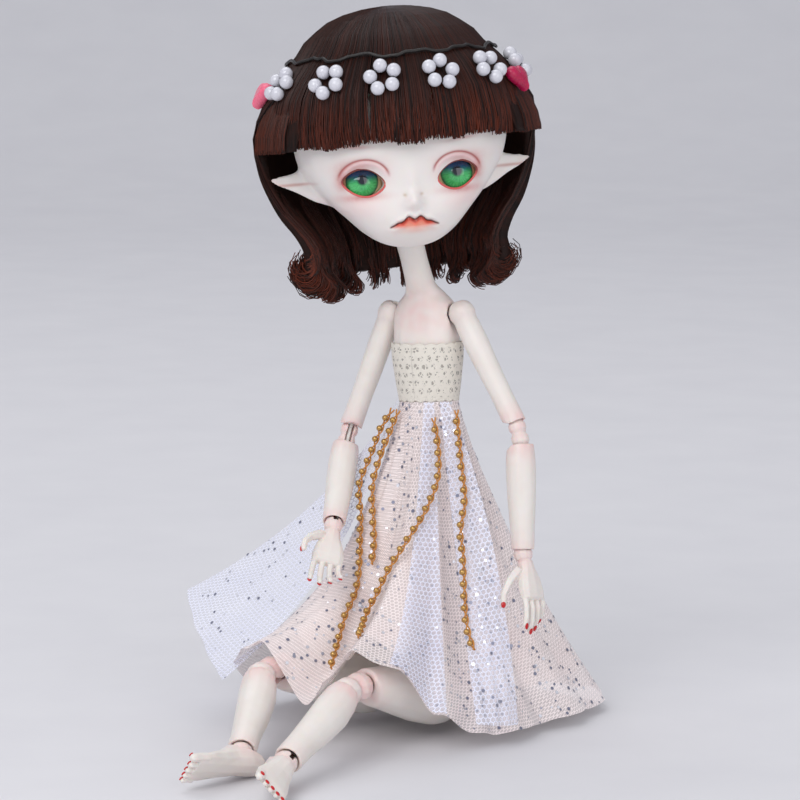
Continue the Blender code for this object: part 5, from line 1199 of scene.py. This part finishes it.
def softened(node, voxel, rounds, spots):
    shape = bmesh.new()
    shape.from_mesh(frame["nodes"][node].data)
    bmesh.ops.remove_doubles(shape, verts=shape.verts, dist=1e-6)
    mesh = bpy.data.meshes.new(node + "_skin")
    shape.to_mesh(mesh)
    shape.free()
    made = bpy.data.objects.new(node + "_skin", mesh)
    bpy.context.scene.collection.objects.link(made)
    grid = made.modifiers.new("grid", "REMESH")
    grid.mode, grid.voxel_size = "VOXEL", voxel * mm
    baked(made)
    away = made.vertex_groups.new(name="away")
    for vertex in made.data.vertices:
        share = 1.0
        for place, size in spots:
            share = min(share, min(max(((vertex.co - place).length / size - 0.9) / 0.5, 0.0), 1.0))
        away.add([vertex.index], share, "REPLACE")
    ease = made.modifiers.new("ease", "SMOOTH")
    ease.factor, ease.iterations = 0.5, 5
    even = made.modifiers.new("even", "SMOOTH")
    even.factor, even.iterations, even.vertex_group = 0.5, rounds, "away"
    fill = made.modifiers.new("fill", "DISPLACE")
    fill.strength, fill.mid_level, fill.vertex_group = rounds * voxel ** 2 * 0.016 * mm, 0.0, "away"
    baked(made)
    made.vertex_groups.clear()
    made.data.materials.clear()
    made.data.materials.append(looks["resin"])
    made.data.shade_smooth()
    return made


def makeResinPieces():
    for kind, (voxel, rounds, joints) in limbs.items():
        nodes = [kind] if kind.startswith("torso") else [kind + "_" + side for side in sides]
        for node in nodes:
            side = node.rsplit("_", 1)[-1]
            edges = []
            for name, size in joints:
                for full in ((name,) if name in jointPlaces else (name + "_left", name + "_right")):
                    if name in jointPlaces or node.startswith("torso") or full.endswith(side):
                        edges.append((jointPlaces[full], size * mm))
            made = softened(node, voxel, rounds, edges)
            spots = [(jointPlaces[name + "_" + side], size * mm, strength)
                     for name, size, strength in blushAt.get(kind, ())]
            if kind == "torso_upper":
                spots = [(chest @ (Vector((0, -3.0, 47.0)) * mm), 7.5 * mm, 0.5)]
                spots += [(jointPlaces["shoulder_lift_" + name], 5.0 * mm, 0.35) for name in sides]
            blush = []
            for vertex in made.data.vertices:
                amount = sum(strength * math.exp(-((vertex.co - place).length / size) ** 2)
                             for place, size, strength in spots)
                grain = 0.75 + 0.5 * noise.noise(vertex.co * 420)
                blush.append(min(amount * grain, 1.0))
            giveNumbers(made, "blush", blush)
            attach(made, nodeBody[node])
            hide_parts(node)


nails = {"finger": (0.66, 0.26, 0.95), "toe": (0.72, 0.28, 0.62)}


def nailBalls(name, frameMatrix, seats, size, body):
    points, faces, rows, around = [], [], 7, 12
    for place, down, over in seats:
        down, over = Vector(down).normalized(), Vector(over).normalized()
        across = down.cross(over).normalized()
        start = len(points)
        for k in range(1, rows + 1):
            level = math.pi * k / (rows + 1)
            for i in range(around):
                angle = math.tau * i / around
                points.append(Vector(place) + across * size[0] * math.sin(level) * math.cos(angle)
                              + over * size[1] * math.sin(level) * math.sin(angle) + down * size[2] * math.cos(level))
        faces += [tuple(start + v for v in f) for f in ringFaces(rows, around)]
    made = addPiece(name, toWorld(frameMatrix, points), faces, "nail")
    outward(made)
    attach(made, body)


def makeNails():
    for side, sign in sides.items():
        seats = []
        for index, (longShare, curl) in enumerate(((0.86, 12), (1.0, 17), (0.93, 22), (0.76, 28))):
            place = Vector((-sign * (index - 1.5) * 2.25, 0, -12.5 * 0.88))
            spread, angle = -sign * math.radians((index - 1.5) * 3), 0.0
            for share in (0.42, 0.32, 0.26):
                bend = math.radians(angle)
                down = Vector((math.sin(spread), -math.sin(bend), -math.cos(bend)))
                place = place + down * 10.5 * longShare * share
                angle += curl
            over = Vector((0, math.cos(bend), -math.sin(bend)))
            seats.append((place + over * 0.62 + down * 0.15, down, over))
        root = Vector((sign * 4.6 * 0.62, -2.1 * 0.3, -12.5 * 0.34))
        tip = root + Vector((sign * 8.8 * 0.58, -8.8 * 0.42, -8.8))
        down = Vector((sign * 0.1, -0.2, -0.95)).normalized()
        over = Vector((sign * 0.75, 0.6, 0)).normalized()
        seats.append((tip + over * 0.66 + down * 0.2, down, over))
        nailBalls("finger_nails_" + side, handFrames[side], seats, nails["finger"], "hand_" + side)
        seats, edge = [], 5.4
        sole, heel = -8.5 + 3.4 * 0.6, 3.4 * 1.5
        for size, ahead in ((1.3, 0.96), (0.95, 1.0), (0.90, 0.97), (0.85, 0.90), (0.82, 0.80)):
            radius = 1.05 * size
            start = Vector((-sign * (edge - radius), heel - 26.5 * 0.84, sole + radius * 1.25))
            edge -= 2 * radius + 0.15
            end = start + Vector((0, -4.6 * ahead * size ** 0.5, -radius * 0.2))
            seats.append((end + Vector((0, -radius * 0.35, radius * 0.78)), (0, -1, -0.35), (0, -0.35, 1)))
        nailBalls("toe_nails_" + side, footFrames[side], seats, nails["toe"], "foot_" + side)


makeResinPieces()
makeNails()
print("resin ready")


# Clothes, in millimetres
cloth = {
    "gap": 0.35, "ring": 22.2, "setback": 7.2, "reach": 50.0, "drop": 90.0, "foldDepth": 1.1, "foldCount": 10,
    "lift": 1.1, "bodice": (22.6, 38.5), "bodiceThick": 0.6, "panelBulge": 1.8, "glitter": 1500, "glitterSeed": 5,
    "chest": ((0.17, 0.65, 0.76, 2.0), (0.28, 0.70, 0.79, 2.0), (0.42, 0.78, 0.84, 2.0), (0.56, 0.88, 0.94, 2.1),
              (0.70, 0.96, 1.02, 2.2), (0.80, 0.965, 0.98, 2.4), (0.89, 0.975, 0.86, 2.6), (0.96, 0.965, 0.78, 2.5)),
    "skirt": ((-24, 0.24, 0.38, 1.12, 0.315), (-10, 0.26, 0.355, 1.04, 0.135), (-1, 0.26, 0.38, 1.06, 0.225),
              (8, 0.30, 0.43, 1.08, 0.33), (20, 0.44, 0.42, 1.0, 0.28), (33, 0.38, 0.43, 0.92, 0.12),
              (46, 0.28, 0.43, 0.84, 0.06), (65, 0.24, 0.47, 0.76, 0.035), (90, 0.24, 0.47, 0.72, 0.035),
              (112, 0.28, 0.48, 0.84, 0.035), (135, 0.40, 0.50, 1.0, 0.035), (160, 0.48, 0.50, 0.96, 0.035),
              (200, 0.48, 0.50, 0.90, 0.035), (245, 0.44, 0.49, 0.90, 0.035), (270, 0.42, 0.49, 0.92, 0.035),
              (292, 0.38, 0.49, 1.04, 0.09), (315, 0.36, 0.47, 1.14, 0.20), (326, 0.30, 0.42, 1.14, 0.27),
              (336, 0.24, 0.38, 1.12, 0.315)),
    "panels": {"train": ((280, 0.66, 0.60, 1.52, 0.34), (318, 0.46, 0.47, 1.22, 0.16)),
               "front": ((46, 0.42, 0.62, 0.93, 0.096), (64, 0.70, 0.66, 0.86, 0.072))},
}


def chestRing(height, grow, count):
    share, table = height / pose["neckBase"], cloth["chest"]
    for low, high in zip(table, table[1:]):
        if share <= high[0]:
            break
    part = (share - low[0]) / (high[0] - low[0])
    wide, deep, power = (low[k] + (high[k] - low[k]) * part for k in (1, 2, 3))
    ring = []
    for i in range(count):
        angle = math.tau * i / count
        across = math.copysign(abs(math.sin(angle)) ** (2 / power), math.sin(angle))
        ahead = math.copysign(abs(math.cos(angle)) ** (2 / power), math.cos(angle))
        ring.append(Vector(((9.8 * wide + grow) * across, -(7.4 * deep + grow) * ahead, height)))
    return ring


def ringPoint(around, lift):
    place = chestRing(cloth["ring"], cloth["gap"] + 0.25 + lift, 360)[round(around) % 360]
    return (hips.inverted() @ (chest @ (place * mm))) / mm


def skirtPoint(around, down, lift=0.0, extra=0.0):
    turn = (around + 24) % 360 - 24
    for low, high in zip(cloth["skirt"], cloth["skirt"][1:]):
        if turn <= high[0]:
            break
    part = (turn - low[0]) / (high[0] - low[0])
    part = part * part * (3 - 2 * part)
    midReach, midHeight, hemReach, hemHeight = (low[k] + (high[k] - low[k]) * part for k in (1, 2, 3, 4))
    angle = math.radians(around)
    direction = Vector((math.sin(angle), -math.cos(angle), 0))
    axis = Vector((0, cloth["setback"], 0))
    start = ringPoint(around, lift)
    middle = axis + direction * cloth["reach"] * midReach + Vector((0, 0, cloth["drop"] * midHeight))
    hem = axis + direction * cloth["reach"] * hemReach + Vector((0, 0, cloth["drop"] * hemHeight))
    point = start * (1 - down) ** 2 + middle * 2 * down * (1 - down) + hem * down ** 2
    slope = (middle - start) * (1 - down) + (hem - middle) * down
    out = slope.cross(Vector((math.cos(angle), math.sin(angle), 0))).normalized()
    out = -out if out.dot(direction) + out.z < 0 else out
    fold = cloth["foldDepth"] * math.cos(cloth["foldCount"] * angle) * down ** 0.5 * min(1.0, (1 - hemHeight) * 1.1)
    return point + out * (lift * min(1.0, down * 4) + (fold + extra) * min(1.0, down * 3))


def sheetPiece(name, grid, closed, look, body, nodes):
    rows, count = len(grid), len(grid[0])
    points = toWorld(hips, [p for row in grid for p in row])
    made = addPiece(name, points, [f[::-1] for f in ringFaces(rows, count, closed, False)], look)
    flat, lengths = [], [0.0] * count
    for k, row in enumerate(grid):
        if k:
            lengths = [lengths[i] + (row[i] - grid[k - 1][i]).length for i in range(count)]
        walked = 0.0
        for i in range(count):
            walked += (row[i] - row[i - 1]).length if i else 0.0
            flat.append((walked, lengths[i]))
    giveFlat(made, flat)
    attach(made, body)
    if nodes:
        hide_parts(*nodes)
    return made


def glitterOn(base, name, count, seed, body):
    plant = Plant("glitter_" + name, {"Count": "NodeSocketFloat", "Dot radius": "NodeSocketFloat", "Seed": "NodeSocketInt"})
    seats = plant.tree.nodes.new("GeometryNodeDistributePointsOnFaces")
    plant.tree.links.new(plant.given("Geometry"), seats.inputs["Mesh"])
    plant.tree.links.new(plant.given("Count"), seats.inputs["Density"])
    plant.tree.links.new(plant.given("Seed"), seats.inputs["Seed"])
    dot = plant.add("GeometryNodeMeshCircle", {"fill_type": "TRIANGLE_FAN"},
                    {"Vertices": 6, "Radius": plant.given("Dot radius")})
    lifted = plant.add("GeometryNodeSetPosition", None, {"Geometry": dot, "Offset": (0, 0, 0.00015)})
    size = plant.add("FunctionNodeRandomValue", {"data_type": "FLOAT"},
                     {2: 0.5, 3: 1.15, "Seed": plant.given("Seed")}, 1)
    dots = plant.add("GeometryNodeInstanceOnPoints", None,
                     {"Points": seats.outputs["Points"], "Instance": lifted, "Rotation": seats.outputs["Rotation"],
                      "Scale": size})
    tone = plant.add("FunctionNodeRandomValue", {"data_type": "FLOAT"}, {2: 0.0, 3: 1.0, "Seed": 21}, 1)
    dots = plant.add("GeometryNodeStoreNamedAttribute", {"data_type": "FLOAT", "domain": "INSTANCE"},
                     {"Geometry": dots, "Name": "tone", "Value": tone})
    plant.end(dots, "glitter")
    made = bpy.data.objects.new(name, base.data.copy())
    bpy.context.scene.collection.objects.link(made)
    area = sum(p.area for p in made.data.polygons)
    plant.grow(made, {"Count": count / area, "Dot radius": 0.5 * mm, "Seed": seed})
    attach(made, body)
    return made


def makeClothes():
    turns, downs = 240, [k / 47 for k in range(48)]
    crimp = lambda around, down: 0.45 * down * math.sin(math.radians(around * 23)) + 0.2 * math.sin(math.radians(around * 41 + down * 90))
    outer = [[skirtPoint(360 * i / turns, d, 0.0, crimp(360 * i / turns, d)) for i in range(turns)] for d in downs]
    skirt = sheetPiece("skirt_net", outer, True, "netPink", "chest", ["skirt"])
    inner = [[skirtPoint(360 * i / turns, d * 0.88, -0.7, crimp(360 * i / turns + 9, d) * 0.6) for i in range(turns)]
             for d in downs]
    sheetPiece("skirt_lining", inner, True, "lining", "chest", [])
    glitterOn(skirt, "skirt_glitter", cloth["glitter"], cloth["glitterSeed"], "chest")
    for name, edges in cloth["panels"].items():
        grid = []
        for k in range(48):
            down = k / 47
            ends = []
            for around, midReach, midHeight, endReach, endHeight in edges:
                angle = math.radians(around)
                direction, axis = Vector((math.sin(angle), -math.cos(angle), 0)), Vector((0, cloth["setback"], 0))
                start = skirtPoint(around, 0.0, cloth["lift"])
                middle = axis + direction * cloth["reach"] * midReach + Vector((0, 0, cloth["drop"] * midHeight))
                end = axis + direction * cloth["reach"] * endReach + Vector((0, 0, cloth["drop"] * endHeight))
                ends.append(start * (1 - down) ** 2 + middle * 2 * down * (1 - down) + end * down ** 2)
            out = (ends[0] + ends[1]) / 2 - Vector((0, cloth["setback"], 0))
            bulge = Vector((out.x, out.y, 0)).normalized() * cloth["panelBulge"] * down
            row = []
            for i in range(33):
                share = i / 32
                swell = math.sin(math.pi * share) ** 0.8 * (1.05 - 0.35 * share)
                pleat = 0.35 * down * math.sin(share * 19) * math.sin(math.pi * share)
                row.append(ends[0].lerp(ends[1], share) + bulge * swell + bulge.normalized() * pleat if k else
                           ends[0].lerp(ends[1], share))
            grid.append(row)
        made = sheetPiece("net_" + name, grid, False, "netWhite", "chest", ["panel_" + name])
        glitterOn(made, "net_glitter_" + name, 70, 11, "chest")
    grid = [[skirtPoint(18 + 18 * i / 20, d, cloth["lift"], crimp(18 + 18 * i / 20, d)) for i in range(21)] for d in downs]
    sheetPiece("net_middle", grid, False, "netWhite", "chest", ["panel_middle"])


def makeBodice():
    low, high = cloth["bodice"]
    rows, count = 36, 240
    points, flat = [], []
    for k in range(rows):
        share = k / (rows - 1)
        for i in range(count):
            around = 360 * i / count
            scallop = 0.55 * abs(math.sin(math.radians(around * 9)))
            bottom, top = low - scallop, high - 0.5 + scallop
            height = bottom + (top - bottom) * share
            base = min(max(height, low), high)
            place = chestRing(base, cloth["gap"] + 0.25, count)[i]
            place.z = height
            points.append(chest @ (place * mm))
            flat.append((i / count * 62, (high - height)))
    made = addPiece("lace_bodice", points, ringFaces(rows, count, True, False), "lace")
    giveFlat(made, flat)
    solid = made.modifiers.new("wall", "SOLIDIFY")
    solid.thickness, solid.offset = 0.4 * mm, 0
    baked(made)
    outward(made)
    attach(made, "chest")
    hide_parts("bodice")


makeClothes()
makeBodice()
print("clothes ready")


# Pieces inside the doll keep their own solids
for node, thing in frame["nodes"].items():
    if thing.hide_render:
        continue
    kind = "steel" if "hook_" in node and node != "hook_rest" or "magnet" in node or node == "neck_hook" else "resin"
    kind = "elastic" if "elastic" in node else kind
    thing.data.materials.clear()
    thing.data.materials.append(looks[kind])


# A pale floor that curves up into the background, painted darker as it rises: painted shade
stage = {"floor": paint(226, 225, 228), "back": paint(206, 206, 211), "reach": 6.0}


def makeStage():
    shade = Shade("studio")
    source, (x, y, z) = shade.place()
    fur = shade.cloud(source, 30.0)
    # the upright part takes the darker back colour: painted shade
    colour = shade.mix(z.ramp(0.0, 0.5), shade.mix(fur, stage["floor"], paint(218, 217, 221)), stage["back"])
    looks["stage"] = shade.set(colour=colour, roughness=0.9 + fur * 0.05)
    azimuth = math.radians(view["azimuth"])
    along = Vector((-math.sin(azimuth), math.cos(azimuth), 0))
    across = Vector((math.cos(azimuth), math.sin(azimuth), 0))
    points, count = [], 0
    profile = [(-4.0, 0.0), (0.0, 0.0), (1.2, 0.0)]
    profile += [(1.2 + 0.9 * math.sin(a), 0.9 * (1 - math.cos(a))) for a in (math.radians(9 * k) for k in range(1, 11))]
    profile += [(2.1, 4.0)]
    for ahead, up in profile:
        points += [along * ahead + across * -stage["reach"] + Vector((0, 0, up - 0.0002)),
                   along * ahead + across * stage["reach"] + Vector((0, 0, up - 0.0002))]
        count += 1
    faces = [(2 * k, 2 * k + 1, 2 * k + 3, 2 * k + 2) for k in range(count - 1)]
    addPiece("studio_floor", points, faces, "stage")
    lamps = {"key": ((0.1, -1.3, 1.1), 1.0, 11.0), "fill": ((1.5, -0.7, 0.6), 1.2, 6.0), "top": ((-0.5, 0.3, 1.5), 1.2, 7.0)}
    for name, (place, size, power) in lamps.items():
        lamp = bpy.data.objects.new(name, bpy.data.lights.new(name, "AREA"))
        lamp.data.energy, lamp.data.size = power, size
        lamp.location = place
        lamp.rotation_euler = (Vector((0, 0, 0.1)) - Vector(place)).to_track_quat("-Z", "Y").to_euler()
        bpy.context.scene.collection.objects.link(lamp)
    world = bpy.data.worlds.new("soft_light")
    world.use_nodes = True
    world.node_tree.nodes["Background"].inputs[0].default_value = (0.92, 0.94, 1.0, 1)
    world.node_tree.nodes["Background"].inputs[1].default_value = 0.55
    bpy.context.scene.world = world


makeStage()
print("scene ready")
